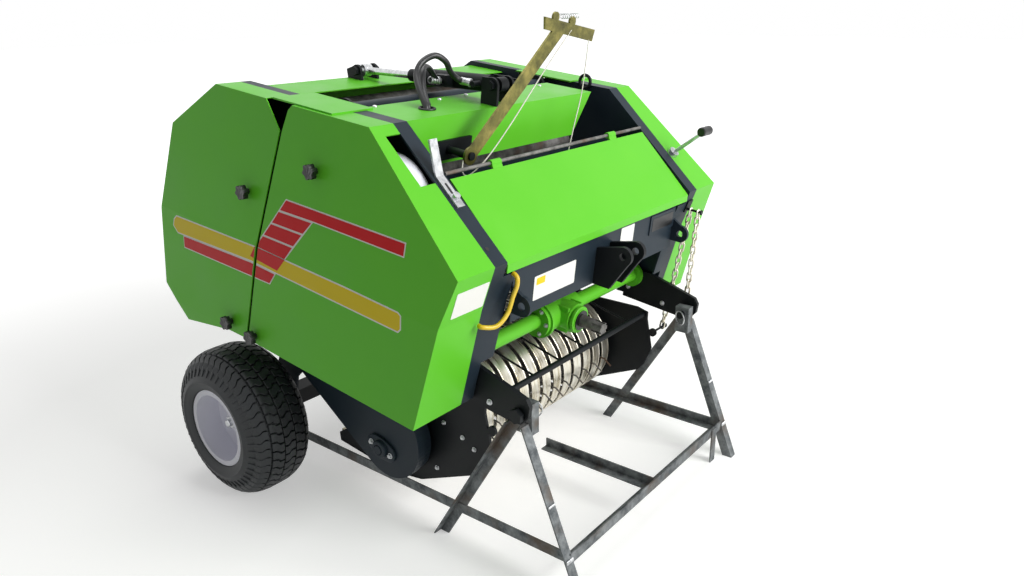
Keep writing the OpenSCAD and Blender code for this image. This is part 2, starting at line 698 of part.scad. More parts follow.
// Tailgate: side plates with flanges to the rear covers
gate_plate_x = inner_half + plate_t + 5.5;
gate_line = [for (i = [4:len(rear_outline) - 1]) rear_outline[i]];
module gate_plates() color(blue_grey) on_wheels() both_sides() {
    across(gate_plate_x, gate_plate_x + plate_t) polygon(concat([[-116, top_z], [-120, 860], [-152, 770],
        [-125, 600], [-95, 420]], gate_line));
    across(gate_plate_x + plate_t, frame_half) polygon(strip(concat(gate_line, [[-116, top_z]]), strip_t));
}

// Sheet round the back of the tailgate, from under the arms to the rear rollers
gate_top_z = top_z - 15;
gate_lip = -50;
module gate_sheet() color(lime) on_wheels() across(-gate_plate_x, gate_plate_x)
    polygon(strip([[tail_back - 28, 372], [tail_back - 10, fold_z - 8], [tail_back - 28, 800],
        [88, gate_top_z], [gate_lip, gate_top_z]], cover_t));

// Arms of the tailgate on the hinge tube, and the post of the rod's pin
module gate_arms() color(near_black) on_wheels() {
    both_sides() difference() {
        across(gate_arm_x, gate_arm_x + gate_t) {
            polygon([hinge + [0, 8], hinge + [0, -26], [gate_lip + 40, gate_top_z - 40],
                [gate_lip + 40, gate_top_z - cover_t], [gate_lip, gate_top_z - cover_t]]);
            translate(hinge) circle(r = 33);
        }
        bar(gate_arm_x - eps, gate_arm_x + gate_t + eps, hinge, hinge_r + run_gap);
    }
    translate([-cyl_x, 0, 0]) both_sides() {
        across(cheek_gap, cheek_gap + cheek_t) {
            polygon([[30, gate_top_z], [88, gate_top_z], rod_pin + [42, 0], rod_pin + [0, 18],
                rod_pin + [-18, 0]]);
            translate(rod_pin) circle(r = 18);
        }
        bar(cheek_gap + cheek_t, cheek_gap + cheek_t + 10, rod_pin, cyl_pin_r + 5, $fn = 6);
    }
}
module rear_rollers() rollers(rear_angles, gate_plate_x);

// Lid of the twine box with a lip and two tabs on its rod
lid_half = inner_half - 5;
lid_rod_r = 4.5;
lid_low = [-794, 677];
module lid_rod() color(steel) on_wheels() bar(-inner_half, inner_half, lid_hinge, lid_rod_r);
module lid() color(lime) on_wheels() {
    edge = lid_hinge + slope_dir * 16;
    across(-lid_half, lid_half)
        polygon(strip([edge, lid_low, lid_low + [0, -20]], cover_t));
    for (x = [-256, 262]) difference() {
        across(x - 18, x + 18) {
            translate(lid_hinge) circle(r = lid_rod_r + 4);
            polygon([lid_hinge - slope_out * 5, edge - slope_out * 3, edge + slope_dir * 5 - slope_out * 3,
                edge + slope_dir * 5, edge, lid_hinge + slope_out * 7]);
        }
        bar(x - 18 - eps, x + 18 + eps, lid_hinge, lid_rod_r + run_gap);
    }
}

// Pickup: side plates, guard bar and hold-down rods
guard = [-725, 272];
guard_r = 8.5;
reel_shaft_r = 15;
module pickup_frame() color(near_black) on_wheels() {
    both_sides() difference() {
        across(pickup_plate_x, pickup_plate_x + 8) {
            polygon([[-560, 275], [-700, 290], guard + [-14, 12], guard + [-16, -12], [-770, 168],
                [-752, 105], [-736, 79], [-542, -35], [-430, -66], [-212, -66], [-206, -40], [-330, 60],
                pivot + [20, -28], pivot + [10, 32], [-240, 280]]);
            translate(pivot) circle(r = 34);
            translate(chain_foot) circle(r = 13);
        }
        bar(pickup_plate_x - eps, pickup_plate_x + 9, pivot, pivot_r + run_gap);
        bar(pickup_plate_x - eps, pickup_plate_x + 9, reel, reel_shaft_r + run_gap);
    }
    bar(-pickup_plate_x, pickup_plate_x, guard, guard_r);
    for (x = [-300:120:300]) bar_in_side(x, guard + [0, 4], [-505, 306], 3, $fn = 8);
    bar(pickup_plate_x + 8, chain_x + 14, chain_foot, link_r + 0.5);
    bar(chain_x + 14, chain_x + 20, chain_foot, link_r + 5);
}

// Bands round the reel, joined by a rail at each end
band_centre = [-475, 106];
band_top_back = -196;
band_low_back = -208;
rail_w = 26;
rail_h = 20;
module pickup_bands() color(zinc) on_wheels() {
    for (i = [0:band_count - 1]) {
        x = (i - (band_count - 1) / 2) * band_pitch - band_w / 2;
        difference() {
            bar(x, x + band_w, band_centre, band_r);
            bar(x - eps, x + band_w + eps, band_centre, band_r - band_t);
            translate([x - eps, band_centre[0], band_centre[1] - band_r - eps])
                cube([band_w + 2 * eps, band_r + eps, 2 * band_r + 2 * eps]);
        }
        translate([x, band_centre[0], band_centre[1] + band_r - band_t])
            cube([band_w, band_top_back - band_centre[0], band_t]);
        translate([x, band_centre[0], band_centre[1] - band_r])
            cube([band_w, band_low_back - band_centre[0], band_t]);
    }
    translate([-pickup_plate_x, band_top_back - rail_w, band_centre[1] + band_r - band_t - rail_h])
        cube([2 * pickup_plate_x, rail_w, rail_h]);
    translate([-pickup_plate_x, band_low_back - rail_w, band_centre[1] - band_r + band_t])
        cube([2 * pickup_plate_x, rail_w, rail_h]);
}

// Chain case from the pivot to the reel
case_out = 466;
case_in = 415;
module case_shape(front_r, rear_r) {
    d = norm(pivot - reel);
    a = atan2(pivot[1] - reel[1], pivot[0] - reel[0]);
    b = acos((front_r - rear_r) / d);
    polygon(concat([for (i = [0:28]) on_circle(reel, front_r, a + b + i * (360 - 2 * b) / 28)],
        [for (i = [0:28]) on_circle(pivot, rear_r, a - b + i * 2 * b / 28)]));
}
module chain_case() color(blue_grey) on_wheels() mirror([1, 0, 0]) difference() {
    union() {
        across(inner_half + plate_t + 5, case_out) case_shape(case_front_r, case_rear_r);
        across(case_in, inner_half + plate_t + 5) intersection() {
            case_shape(case_front_r - 4, case_rear_r - 4);
            translate([-700, -100]) square([340, 400]);
        }
        bar(pickup_plate_x + 8, case_in, reel, 40);
    }
    bar(pickup_plate_x, inner_half + 20, reel, reel_shaft_r + run_gap);
    bar(inner_half, case_out + eps, pivot, pivot_r + run_gap);
}

// Tined reel: shaft, end discs, four bars and one bent tine in each gap
tine_bend_r = 180;
module pickup_reel() color(near_black) on_wheels() {
    bar(-inner_half - 10, pickup_plate_x + 20, reel, reel_shaft_r);
    bar(-376, 376, reel, reel_core_r);
    for (x = [-380, 0, 376]) bar(x, x + 4, reel, tine_bar_circle + 12);
    for (a = [-4:90:266]) {
        bar(-380, 380, on_circle(reel, tine_bar_circle, a), 9, $fn = 12);
        for (i = [0:band_count - 2]) {
            x = (i - (band_count - 2) / 2) * band_pitch;
            bar_in_side(x, on_circle(reel, tine_bar_circle, a), on_circle(reel, tine_bend_r, a), tine_r, $fn = 6);
            bar_in_side(x, on_circle(reel, tine_bend_r - 1, a), on_circle(reel, tine_tip_r, a + 5), tine_r,
                $fn = 6);
        }
    }
}

// Twine arm in the slot before the hood, and its bracket
arm_y = -555;
arm_pivot = [-293, 849];
arm_head = [36, 1137];
module arm_bracket() color(near_black) on_wheels() {
    bar_y(arm_y - 8, -shoulder_front - 8, arm_pivot[0], arm_pivot[1], 10);
    translate([arm_pivot[0] - 35, -shoulder_front - 8, arm_pivot[1] - 24]) cube([120, 8, 48]);
}
module twine_arm() color("#6d6a3a") on_wheels() translate([0, arm_y + 3, 0]) rotate([90, 0, 0]) difference() {
    linear_extrude(6) {
        translate(arm_pivot) circle(r = 22);
        polygon([arm_pivot + [-12, 12], arm_pivot + [12, -12], arm_head + [12, -16], arm_head + [-14, 14]]);
        polygon([arm_head + [-78, 24], arm_head + [-74, -6], arm_head + [144, -44], arm_head + [152, -14]]);
        for (p = [[-31, 22], [44, 10]]) translate(arm_head + p) circle(r = 13);
    }
    translate([arm_pivot[0], arm_pivot[1], -eps]) cylinder(h = 8, r = 10 + run_gap);
}
// Twine from the arm's head down to the ball
module twine_strand() color("white") on_wheels() swept(smooth([[160, -559.8, 1098], [150, -565, 1030],
    [137, -570, 955], [112, -573, 870], [90, -575, 774]], 4), 1.5, 8);

side_plates();
hinge_tube();
front_panel();
hood();
twine_box();
twine_ball();
lid_rod();
front_covers();
gap_plates();
axle();
front_rollers();
feed_shaft();
driveline_tube();
gearbox();
top_link_fork();
hitch_arms();
stand();
cylinder_bracket();
arm_bracket();
hose_front();
hose_rear();
hose_yellow();
crank();
lever();
drive_pulley();
knobs();
lifting_eye();
lift_chain();
chain_hook();
rim_right();
rim_left();
tyre_right();
tyre_left();
gate_plates();
gate_sheet();
gate_arms();
rear_covers();
rear_rollers();
gate_knobs();
cylinder_barrel();
cylinder_rod();
lid();
pickup_frame();
pickup_bands();
chain_case();
pickup_reel();
twine_arm();
twine_strand();
input_shaft();
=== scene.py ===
# %% [markdown]
# A small round baler on its angle-iron stand, dressed for the render. The imported CAD model is
# the fixed frame: every piece made here sits on a CAD part, and most ride on their body; the two
# hose loops, the two twine strands and the lifting strand of the chain rest in the world on no
# body. The axle, the covers and the hinges are never moved. What a CAD node already shows well
# keeps its solid and gets a better material. What it lacks, such as tread or screws, is modelled here.

# %% Load the frame
import json
import math
import bpy
import bmesh
from mathutils import Matrix, Vector


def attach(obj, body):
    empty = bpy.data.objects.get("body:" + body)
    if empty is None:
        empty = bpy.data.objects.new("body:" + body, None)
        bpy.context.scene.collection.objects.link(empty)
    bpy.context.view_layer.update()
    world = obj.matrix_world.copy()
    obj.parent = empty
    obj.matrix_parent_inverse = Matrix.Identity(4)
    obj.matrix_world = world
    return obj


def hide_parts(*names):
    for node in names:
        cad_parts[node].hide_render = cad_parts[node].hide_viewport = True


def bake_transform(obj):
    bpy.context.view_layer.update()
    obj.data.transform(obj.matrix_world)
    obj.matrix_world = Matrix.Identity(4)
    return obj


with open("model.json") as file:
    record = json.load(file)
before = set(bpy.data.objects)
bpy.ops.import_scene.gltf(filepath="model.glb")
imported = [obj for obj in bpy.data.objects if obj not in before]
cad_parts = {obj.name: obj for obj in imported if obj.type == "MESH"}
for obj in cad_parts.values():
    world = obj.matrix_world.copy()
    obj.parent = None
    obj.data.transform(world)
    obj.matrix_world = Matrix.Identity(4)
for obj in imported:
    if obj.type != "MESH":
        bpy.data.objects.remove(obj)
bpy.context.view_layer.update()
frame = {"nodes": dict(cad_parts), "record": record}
scene = bpy.context.scene
print("CAD nodes:", len(frame["nodes"]))

# %% [markdown]
# The machine is pitched nose down about its axle, so most sizes are easier to give in the
# machine's own frame: x to its left, y to the rear and z up from the axle, in millimetres.
# One function turns such a point into a world point in metres.

# %% The machine's own frame
PITCH = math.radians(6.5)
AXLE = Vector((0, 0.423, 0.218))
TURN = Matrix.Rotation(PITCH, 3, "X")


def on_machine(x, y, z):
    return AXLE + TURN @ (Vector((x, y, z)) / 1000)


print("hinge of the tailgate at", on_machine(0, -230, 905))

# %% [markdown]
# The camera stands where the photographer stood: at head height by the right front wheel
# track, looking back over the hitch. Its place was worked out from the wheels and the long
# edges of the covers. A lens of about 29 mm on a 36 mm sensor gives the photo's perspective,
# so lines that run to the rear converge as strongly as they do there.

# %% Camera
CAMERA_FROM_AXLE = Vector((-1.750, -1.935, 1.1235))
YAW, DOWN, ROLL = (math.radians(a) for a in (51.37, 19.22, -0.70))
SENSOR_MM = 36
FOCAL_PIXELS, PHOTO_PIXELS = 818.0, 1024
ahead = Vector((math.sin(YAW) * math.cos(DOWN), math.cos(YAW) * math.cos(DOWN), -math.sin(DOWN)))
level = Vector((math.cos(YAW), -math.sin(YAW), 0))
upward = level.cross(ahead)
right = math.cos(ROLL) * level + math.sin(ROLL) * upward
over = -math.sin(ROLL) * level + math.cos(ROLL) * upward

camera_data = bpy.data.cameras.new("camera")
camera_data.sensor_width = SENSOR_MM
camera_data.lens = FOCAL_PIXELS / PHOTO_PIXELS * SENSOR_MM
camera = bpy.data.objects.new("camera", camera_data)
scene.collection.objects.link(camera)
looking = Matrix((right, over, -ahead)).transposed().to_4x4()
camera.matrix_world = Matrix.Translation(AXLE + CAMERA_FROM_AXLE) @ looking
scene.camera = camera
print("camera height %.2f m" % camera.location.z)

# %% [markdown]
# Colours are written as on a paint card, in sRGB hex, and one function turns them to the
# linear values that Blender mixes. A second small function adds a node with its settings
# and its links, so each material below reads as a short recipe.

# %% Colour and node helpers
def colour(hex_code):
    parts = [int(hex_code[i:i + 2], 16) / 255 for i in (1, 3, 5)]
    linear = [c / 12.92 if c <= 0.04045 else ((c + 0.055) / 1.055) ** 2.4 for c in parts]
    return (*linear, 1.0)


def add(tree, kind, inputs=None, **settings):
    node = tree.nodes.new(kind)
    for name, value in settings.items():
        setattr(node, name, value)
    for socket, value in (inputs or {}).items():
        if isinstance(value, bpy.types.NodeSocket):
            tree.links.new(value, node.inputs[socket])
        else:
            node.inputs[socket].default_value = value
    return node


def new_material(name):
    material = bpy.data.materials.new(name)
    material.use_nodes = True
    tree = material.node_tree
    shader = tree.nodes["Principled BSDF"]
    where = add(tree, "ShaderNodeTexCoord").outputs["Object"]
    return material, tree, shader, where


def per_mm(millimetres):
    """Noise scale, in a pattern on metres, whose features are this many millimetres wide."""
    return 1000 / millimetres


# %% [markdown]
# The floor is a plain pale sheet that reaches far behind. To the camera, and in what shines,
# it glows a little near the machine and fully far away, so it melts into the white sky and
# still keeps the soft shadow under the machine. A light path tells which rays get that glow.

# %% Floor
def looked_at(tree):
    """One for a camera ray, a reflection or a look through glass, and nought for light."""
    rays = add(tree, "ShaderNodeLightPath")
    seen = add(tree, "ShaderNodeMath", {0: rays.outputs["Is Camera Ray"], 1: rays.outputs["Is Glossy Ray"]},
               operation="MAXIMUM")
    seen = add(tree, "ShaderNodeMath", {0: seen.outputs[0], 1: rays.outputs["Is Transmission Ray"]},
               operation="MAXIMUM")
    return seen.outputs[0]


bpy.ops.object.select_all(action="DESELECT")
bpy.ops.mesh.primitive_plane_add(size=60, location=(0, 0, 0))
floor = bpy.context.object
floor.name = "floor"
floor_paint, tree, shader, where = new_material("pale_floor")
shader.inputs["Base Color"].default_value = colour("#dededc")
shader.inputs["Roughness"].default_value = 0.9
shader.inputs["Emission Color"].default_value = (1, 1, 1, 1)
away = add(tree, "ShaderNodeVectorMath", {0: where}, operation="LENGTH")
glow = add(tree, "ShaderNodeMapRange", {"Value": away.outputs["Value"], "From Min": 1.6, "From Max": 4.5,
                                        "To Min": 0.42, "To Max": 1.0})
glow = add(tree, "ShaderNodeMath", {0: glow.outputs[0], 1: looked_at(tree)}, operation="MULTIPLY")
tree.links.new(glow.outputs[0], shader.inputs["Emission Strength"])
floor.data.materials.append(floor_paint)
print("floor: %.0f m square" % floor.dimensions.x)

# %% [markdown]
# The light comes mostly from the front, from a large soft panel high before the hitch, so the
# front slopes are bright and the covers of the right side lie in shade, as in the photograph.
# A dim world fills the shadows, but a ray that looks at it sees plain white.

# %% Sky and lamps
world = bpy.data.worlds.new("sky")
scene.world = world
world.use_nodes = True
sky = world.node_tree
base = sky.nodes["Background"]
base.inputs["Color"].default_value = (1, 1, 1, 1)
base.inputs["Strength"].default_value = 0.24
plain = add(sky, "ShaderNodeBackground", {"Color": (1, 1, 1, 1), "Strength": 1.0})
mix = add(sky, "ShaderNodeMixShader", {0: looked_at(sky), 1: base.outputs[0], 2: plain.outputs[0]})
sky.links.new(mix.outputs[0], sky.nodes["World Output"].inputs["Surface"])


def soft_panel(name, place, aim, size, watts):
    data = bpy.data.lights.new(name, "AREA")
    data.size = size
    data.energy = watts
    panel = bpy.data.objects.new(name, data)
    scene.collection.objects.link(panel)
    panel.location = place
    panel.rotation_euler = (Vector(aim) - Vector(place)).to_track_quat("-Z", "Y").to_euler()


soft_panel("high_front", (0.7, -4.2, 2.8), (0, 0, 0.5), 2.6, 225)
soft_panel("overhead", (0.6, 0.8, 4.4), (0, 0, 0.6), 2.6, 60)
scene.view_settings.view_transform = "Standard"
print("lamps:", len(bpy.data.lights))

# %% [markdown]
# The covers are steel sheet with a sprayed lime-green gloss paint. Sprayed paint is never
# quite flat: it has a fine orange peel, and outdoor dust dulls its gloss in cloudy patches.
# A fine noise gives the peel as bump, and a broad noise varies colour and roughness a little.

# %% Sprayed paint
def sprayed_paint(name, hex_code, dusty_hex, roughness, peel=0.06):
    material, tree, shader, where = new_material(name)
    clouds = add(tree, "ShaderNodeTexNoise", {"Vector": where, "Scale": per_mm(140), "Detail": 4.0})
    amount = add(tree, "ShaderNodeMapRange", {"Value": clouds.outputs[0], "From Min": 0.42, "From Max": 0.72,
                                              "To Min": 0.0, "To Max": 0.35})
    tint = add(tree, "ShaderNodeMix", {"Factor": amount.outputs[0], 6: colour(hex_code),
                                       7: colour(dusty_hex)}, data_type="RGBA")
    tree.links.new(tint.outputs[2], shader.inputs["Base Color"])
    rough = add(tree, "ShaderNodeMapRange", {"Value": clouds.outputs[0], "From Min": 0.3, "From Max": 0.7,
                                             "To Min": roughness - 0.05, "To Max": roughness + 0.12})
    tree.links.new(rough.outputs[0], shader.inputs["Roughness"])
    grain = add(tree, "ShaderNodeTexNoise", {"Vector": where, "Scale": per_mm(3), "Detail": 2.0})
    bump = add(tree, "ShaderNodeBump", {"Height": grain.outputs[0], "Strength": peel, "Distance": 0.0006})
    tree.links.new(bump.outputs[0], shader.inputs["Normal"])
    shader.inputs["Specular IOR Level"].default_value = 0.2
    return material


LIME = sprayed_paint("lime_gloss_paint", "#5fc02a", "#6cc43c", 0.34)
BLUE_GREY = sprayed_paint("blue_grey_paint", "#1d2831", "#2a343c", 0.42)
BLACK = sprayed_paint("black_satin_paint", "#0d1114", "#181c1f", 0.45)
SILVER = sprayed_paint("silver_rim_paint", "#eeeef8", "#dcdce4", 0.34)
print("paints:", LIME.name, BLUE_GREY.name, BLACK.name, SILVER.name)

# %% [markdown]
# The stand is raw hot-rolled angle iron. Its mill scale is dark grey with cloudy lighter
# patches and a faint brown bloom, so the metal is rough and only partly metallic.

# %% Raw iron
def raw_iron(name, dark_hex, pale_hex, rust_hex):
    material, tree, shader, where = new_material(name)
    scale = add(tree, "ShaderNodeTexNoise", {"Vector": where, "Scale": per_mm(35), "Detail": 6.0,
                                             "Roughness": 0.7})
    rust = add(tree, "ShaderNodeTexNoise", {"Vector": where, "Scale": per_mm(90), "Detail": 8.0})
    ramp = add(tree, "ShaderNodeValToRGB", {"Fac": scale.outputs[0]})
    ramp.color_ramp.elements[0].position = 0.35
    ramp.color_ramp.elements[0].color = colour(dark_hex)
    ramp.color_ramp.elements[1].position = 0.68
    ramp.color_ramp.elements[1].color = colour(pale_hex)
    amount = add(tree, "ShaderNodeMapRange", {"Value": rust.outputs[0], "From Min": 0.52, "From Max": 0.7})
    tint = add(tree, "ShaderNodeMix", {"Factor": amount.outputs[0], 6: ramp.outputs[0],
                                       7: colour(rust_hex)}, data_type="RGBA")
    tree.links.new(tint.outputs[2], shader.inputs["Base Color"])
    rough = add(tree, "ShaderNodeMapRange", {"Value": scale.outputs[0], "To Min": 0.45, "To Max": 0.75})
    tree.links.new(rough.outputs[0], shader.inputs["Roughness"])
    bump = add(tree, "ShaderNodeBump", {"Height": scale.outputs[0], "Strength": 0.25, "Distance": 0.001})
    tree.links.new(bump.outputs[0], shader.inputs["Normal"])
    shader.inputs["Metallic"].default_value = 0.55
    return material


IRON = raw_iron("hot_rolled_iron", "#43484b", "#8b8f90", "#5b5148")
STEEL = raw_iron("worn_roller_steel", "#4e4d4b", "#8a8885", "#5e4a3c")

# %% [markdown]
# Bands, chain and twine arm are zinc plated and passivated. Yellow passivation shows
# streaks from pale gold to grey where the bath ran off, so a noise is stretched along
# the strips and drives both the tint and the roughness of a metal.

# %% Zinc plating
def zinc_plate(name, hexes, roughness, stretch=(1, 1, 6), size_mm=30):
    material, tree, shader, where = new_material(name)
    laid = add(tree, "ShaderNodeMapping", {"Vector": where, "Scale": stretch})
    streaks = add(tree, "ShaderNodeTexNoise", {"Vector": laid.outputs[0], "Scale": per_mm(size_mm),
                                               "Detail": 5.0, "Roughness": 0.65})
    ramp = add(tree, "ShaderNodeValToRGB", {"Fac": streaks.outputs[0]})
    stops = ramp.color_ramp.elements
    stops[0].position = 0.32
    stops[0].color = colour(hexes[0])
    stops[1].position = 0.70
    stops[1].color = colour(hexes[2])
    middle = stops.new(0.5)
    middle.color = colour(hexes[1])
    tree.links.new(ramp.outputs[0], shader.inputs["Base Color"])
    rough = add(tree, "ShaderNodeMapRange", {"Value": streaks.outputs[0], "To Min": roughness - 0.08,
                                             "To Max": roughness + 0.15})
    tree.links.new(rough.outputs[0], shader.inputs["Roughness"])
    shader.inputs["Metallic"].default_value = 0.85
    return material


BANDS = zinc_plate("yellow_zinc_bands", ("#b3a88c", "#e2dccb", "#f7f5ec"), 0.26, (4, 0.6, 0.6), 60)
OLIVE = zinc_plate("olive_chromate", ("#4c4a2b", "#6f6b3a", "#948a4e"), 0.38, (1, 1, 1), 45)
BRIGHT = zinc_plate("bright_zinc", ("#a4a6a8", "#c6c8ca", "#dcdee0"), 0.28, (1, 1, 1), 18)

# %% [markdown]
# The remaining finishes: tyre rubber is black with a grey bloom, hoses are smooth extruded
# rubber, knobs are moulded plastic, the cylinder's rod is hard chrome and the twine is a
# pale polypropylene fibre, rough and matt.

# %% Rubber, plastic, chrome and twine
def moulded(name, hex_code, bloom_hex, roughness, grain_mm=2.0, strength=0.15):
    material, tree, shader, where = new_material(name)
    grain = add(tree, "ShaderNodeTexNoise", {"Vector": where, "Scale": per_mm(grain_mm), "Detail": 3.0})
    bloom = add(tree, "ShaderNodeTexNoise", {"Vector": where, "Scale": per_mm(60), "Detail": 5.0})
    amount = add(tree, "ShaderNodeMapRange", {"Value": bloom.outputs[0], "From Min": 0.45, "From Max": 0.75})
    tint = add(tree, "ShaderNodeMix", {"Factor": amount.outputs[0], 6: colour(hex_code),
                                       7: colour(bloom_hex)}, data_type="RGBA")
    tree.links.new(tint.outputs[2], shader.inputs["Base Color"])
    bump = add(tree, "ShaderNodeBump", {"Height": grain.outputs[0], "Strength": strength, "Distance": 0.0005})
    tree.links.new(bump.outputs[0], shader.inputs["Normal"])
    shader.inputs["Roughness"].default_value = roughness
    return material


TYRE = moulded("tyre_rubber", "#14181b", "#202528", 0.55, 2.5, 0.3)
HOSE = moulded("hose_rubber", "#131416", "#1f2123", 0.38, 1.2, 0.1)
KNOB = moulded("knob_plastic", "#101112", "#1a1c1d", 0.35, 1.0, 0.1)
YELLOW = moulded("yellow_hose_pvc", "#d9b410", "#e8cb4a", 0.35, 1.5, 0.1)
TWINE = moulded("pale_twine", "#dcd8cc", "#f2efe6", 0.8, 1.6, 0.6)
CHROME = zinc_plate("hard_chrome", ("#c8cacc", "#dcdee0", "#eceef0"), 0.14, (1, 1, 1), 12)

FINISH = {
    "lime_paint": LIME, "blue_grey_paint": BLUE_GREY, "black_paint": BLACK, "black_plastic": KNOB,
    "raw_steel": STEEL, "yellow_zinc": BANDS, "bright_zinc": BRIGHT, "chrome_rod": CHROME,
    "silver_paint": SILVER, "tyre_rubber": TYRE, "black_hose": HOSE, "yellow_hose": YELLOW,
    "twine": TWINE,
}
OWN = {"stand": IRON, "twine_arm": OLIVE}
for part in frame["record"]["subparts"]:
    node = frame["nodes"][part["node"]]
    finish = OWN.get(part["node"], FINISH[part["material_slot"]])
    for slot in node.material_slots:
        slot.material = finish
print("finishes:", len(FINISH) + len(OWN))

# %% [markdown]
# Every new piece is modelled in the machine's own frame, in millimetres, and at the end one
# step carries it to its place in the world, gives it its finish and, for most pieces, rides it on its body.
# The helpers below add a primitive alone, pick edges or faces by where they are, turn a
# profile like a lathe does, and lay copies of one fastener at many spots.

# %% Modelling helpers
MACHINE = Matrix.Translation(AXLE) @ TURN.to_4x4() @ Matrix.Scale(0.001, 4)
RIGHT, LEFT, UP, FRONT = (-1, 0, 0), (1, 0, 0), (0, 0, 1), (0, -1, 0)


def alone(piece):
    if bpy.context.object and bpy.context.object.mode != "OBJECT":
        bpy.ops.object.mode_set(mode="OBJECT")
    bpy.ops.object.select_all(action="DESELECT")
    piece.select_set(True)
    bpy.context.view_layer.objects.active = piece


def begin(kind, name, **settings):
    """A primitive with nothing else selected, its place and size baked into its mesh."""
    if bpy.context.object and bpy.context.object.mode != "OBJECT":
        bpy.ops.object.mode_set(mode="OBJECT")
    bpy.ops.object.select_all(action="DESELECT")
    getattr(bpy.ops.mesh, f"primitive_{kind}_add")(**settings)
    piece = bpy.context.object
    piece.name = piece.data.name = name
    bpy.ops.object.transform_apply(location=True, rotation=True, scale=True)
    return piece


def edit(piece):
    alone(piece)
    bpy.ops.object.mode_set(mode="EDIT")
    bpy.ops.mesh.select_all(action="SELECT")


def pick(kind, test):
    """Selects, in edit mode, the corners, edges or faces whose place passes a test."""
    mesh = bpy.context.object.data
    bpy.ops.mesh.select_mode(type=kind)
    bpy.ops.mesh.select_all(action="DESELECT")
    cage = bmesh.from_edit_mesh(mesh)
    for part in {"VERT": cage.verts, "EDGE": cage.edges, "FACE": cage.faces}[kind]:
        if kind == "VERT":
            part.select_set(test(part.co))
        elif kind == "EDGE":
            part.select_set(test((part.verts[0].co + part.verts[1].co) / 2))
        else:
            part.select_set(test(part.calc_center_median(), part.normal))
    cage.select_flush_mode()
    bmesh.update_edit_mesh(mesh)


def chamfer(piece, width, segments=1, angle=35):
    alone(piece)
    modifier = piece.modifiers.new("soft_edges", "BEVEL")
    modifier.width = width
    modifier.segments = segments
    modifier.angle_limit = math.radians(angle)
    bpy.ops.object.modifier_apply(modifier=modifier.name)


def outline_face(name, points, height=0):
    """A flat face with these corners, started from a circle with as many points."""
    piece = begin("circle", name, vertices=len(points), radius=1, fill_type="NGON")
    for vertex, (x, y) in zip(piece.data.vertices, points):
        vertex.co = (x, y, height)
    return piece


def prism(name, points, low, high):
    """An outline in x and y, given a thickness by one extrude."""
    piece = outline_face(name, points, low)
    edit(piece)
    bpy.ops.mesh.extrude_region_move(TRANSFORM_OT_translate={"value": (0, 0, high - low)})
    bpy.ops.mesh.select_all(action="SELECT")
    bpy.ops.mesh.normals_make_consistent(inside=False)
    bpy.ops.object.mode_set(mode="OBJECT")
    return piece


def turned(name, profile, steps=32):
    """A profile of (radius, height) points spun round Z, as on a lathe."""
    piece = begin("circle", name, vertices=len(profile), radius=1)
    for vertex, (radius, height) in zip(piece.data.vertices, profile):
        vertex.co = (radius, 0, height)
    edit(piece)
    bpy.ops.mesh.spin(steps=steps, angle=2 * math.pi, center=(0, 0, 0), axis=(0, 0, 1))
    bpy.ops.mesh.select_all(action="SELECT")
    bpy.ops.mesh.remove_doubles(threshold=0.01)
    bpy.ops.mesh.normals_make_consistent(inside=False)
    bpy.ops.object.mode_set(mode="OBJECT")
    return piece


def lay(piece, matrix):
    """Bakes a matrix into the piece, and leaves its object at the origin."""
    alone(piece)
    piece.matrix_world = matrix @ piece.matrix_world
    bpy.ops.object.transform_apply(location=True, rotation=True, scale=True)
    return piece


def facing(point, direction, turn=0.0, size=1.0):
    """The matrix that puts a piece made round Z at a point, with Z along a direction."""
    aim = Vector(direction).normalized().to_track_quat("Z", "Y").to_matrix().to_4x4()
    return Matrix.Translation(point) @ aim @ Matrix.Rotation(turn, 4, "Z") @ Matrix.Scale(size, 4)


def merged(name, pieces):
    """Joins the pieces into one object."""
    alone(pieces[0])
    for piece in pieces[1:]:
        piece.select_set(True)
    if len(pieces) > 1:
        bpy.ops.object.join()
    piece = bpy.context.object
    piece.name = piece.data.name = name
    return piece


def copies(template, matrices):
    """One copy of a piece for each matrix, with its own mesh moved by it."""
    made = []
    for matrix in matrices:
        twin = template.copy()
        twin.data = template.data.copy()
        twin.data.transform(matrix)
        scene.collection.objects.link(twin)
        made.append(twin)
    return made


def dress(piece, slot, smooth, finish=None):
    """Smooths a piece up to an angle, and gives it its finish: the given one, or the one its slot names."""
    alone(piece)
    if smooth:
        bpy.ops.object.shade_smooth_by_angle(angle=math.radians(smooth))
    piece.data.materials.clear()
    piece.data.materials.append(finish or FINISH[slot])


def settle(piece, body, slot, smooth=32, finish=None, world=False):
    """Carries a piece from the machine's frame to the world, dresses it and rides it."""
    if not world:
        lay(piece, MACHINE)
    dress(piece, slot, smooth, finish)
    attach(piece, body)
    print("%s: %d faces on %s" % (piece.name, len(piece.data.polygons), body))
    return piece


templates = []

# %% [markdown]
# Three hoses and the twine are cords. Two hydraulic hoses leave the hood through a grommet
# and loop to the fittings of the cylinder, a thin yellow hose runs down at the right front
# corner. Each follows the same points as its CAD solid. The curve through the points is a
# spline that passes each of them, and a round section is swept along it with frames that
# are carried from point to point, so the tube never twists.

# %% Hoses and twine
CORD_ANGLE = 50


def through(points, steps):
    """A smooth line through all the points, with so many steps between two of them."""
    p = [Vector(q) for q in points]
    p = [2 * p[0] - p[1], *p, 2 * p[-1] - p[-2]]
    line = []
    for i in range(1, len(p) - 2):
        for k in range(steps):
            t = k / steps
            line.append(0.5 * (2 * p[i] + t * (p[i + 1] - p[i - 1])
                               + t * t * (2 * p[i - 1] - 5 * p[i] + 4 * p[i + 1] - p[i + 2])
                               + t ** 3 * (3 * p[i] - p[i - 1] - 3 * p[i + 1] + p[i + 2])))
    return [*line, p[-2]]


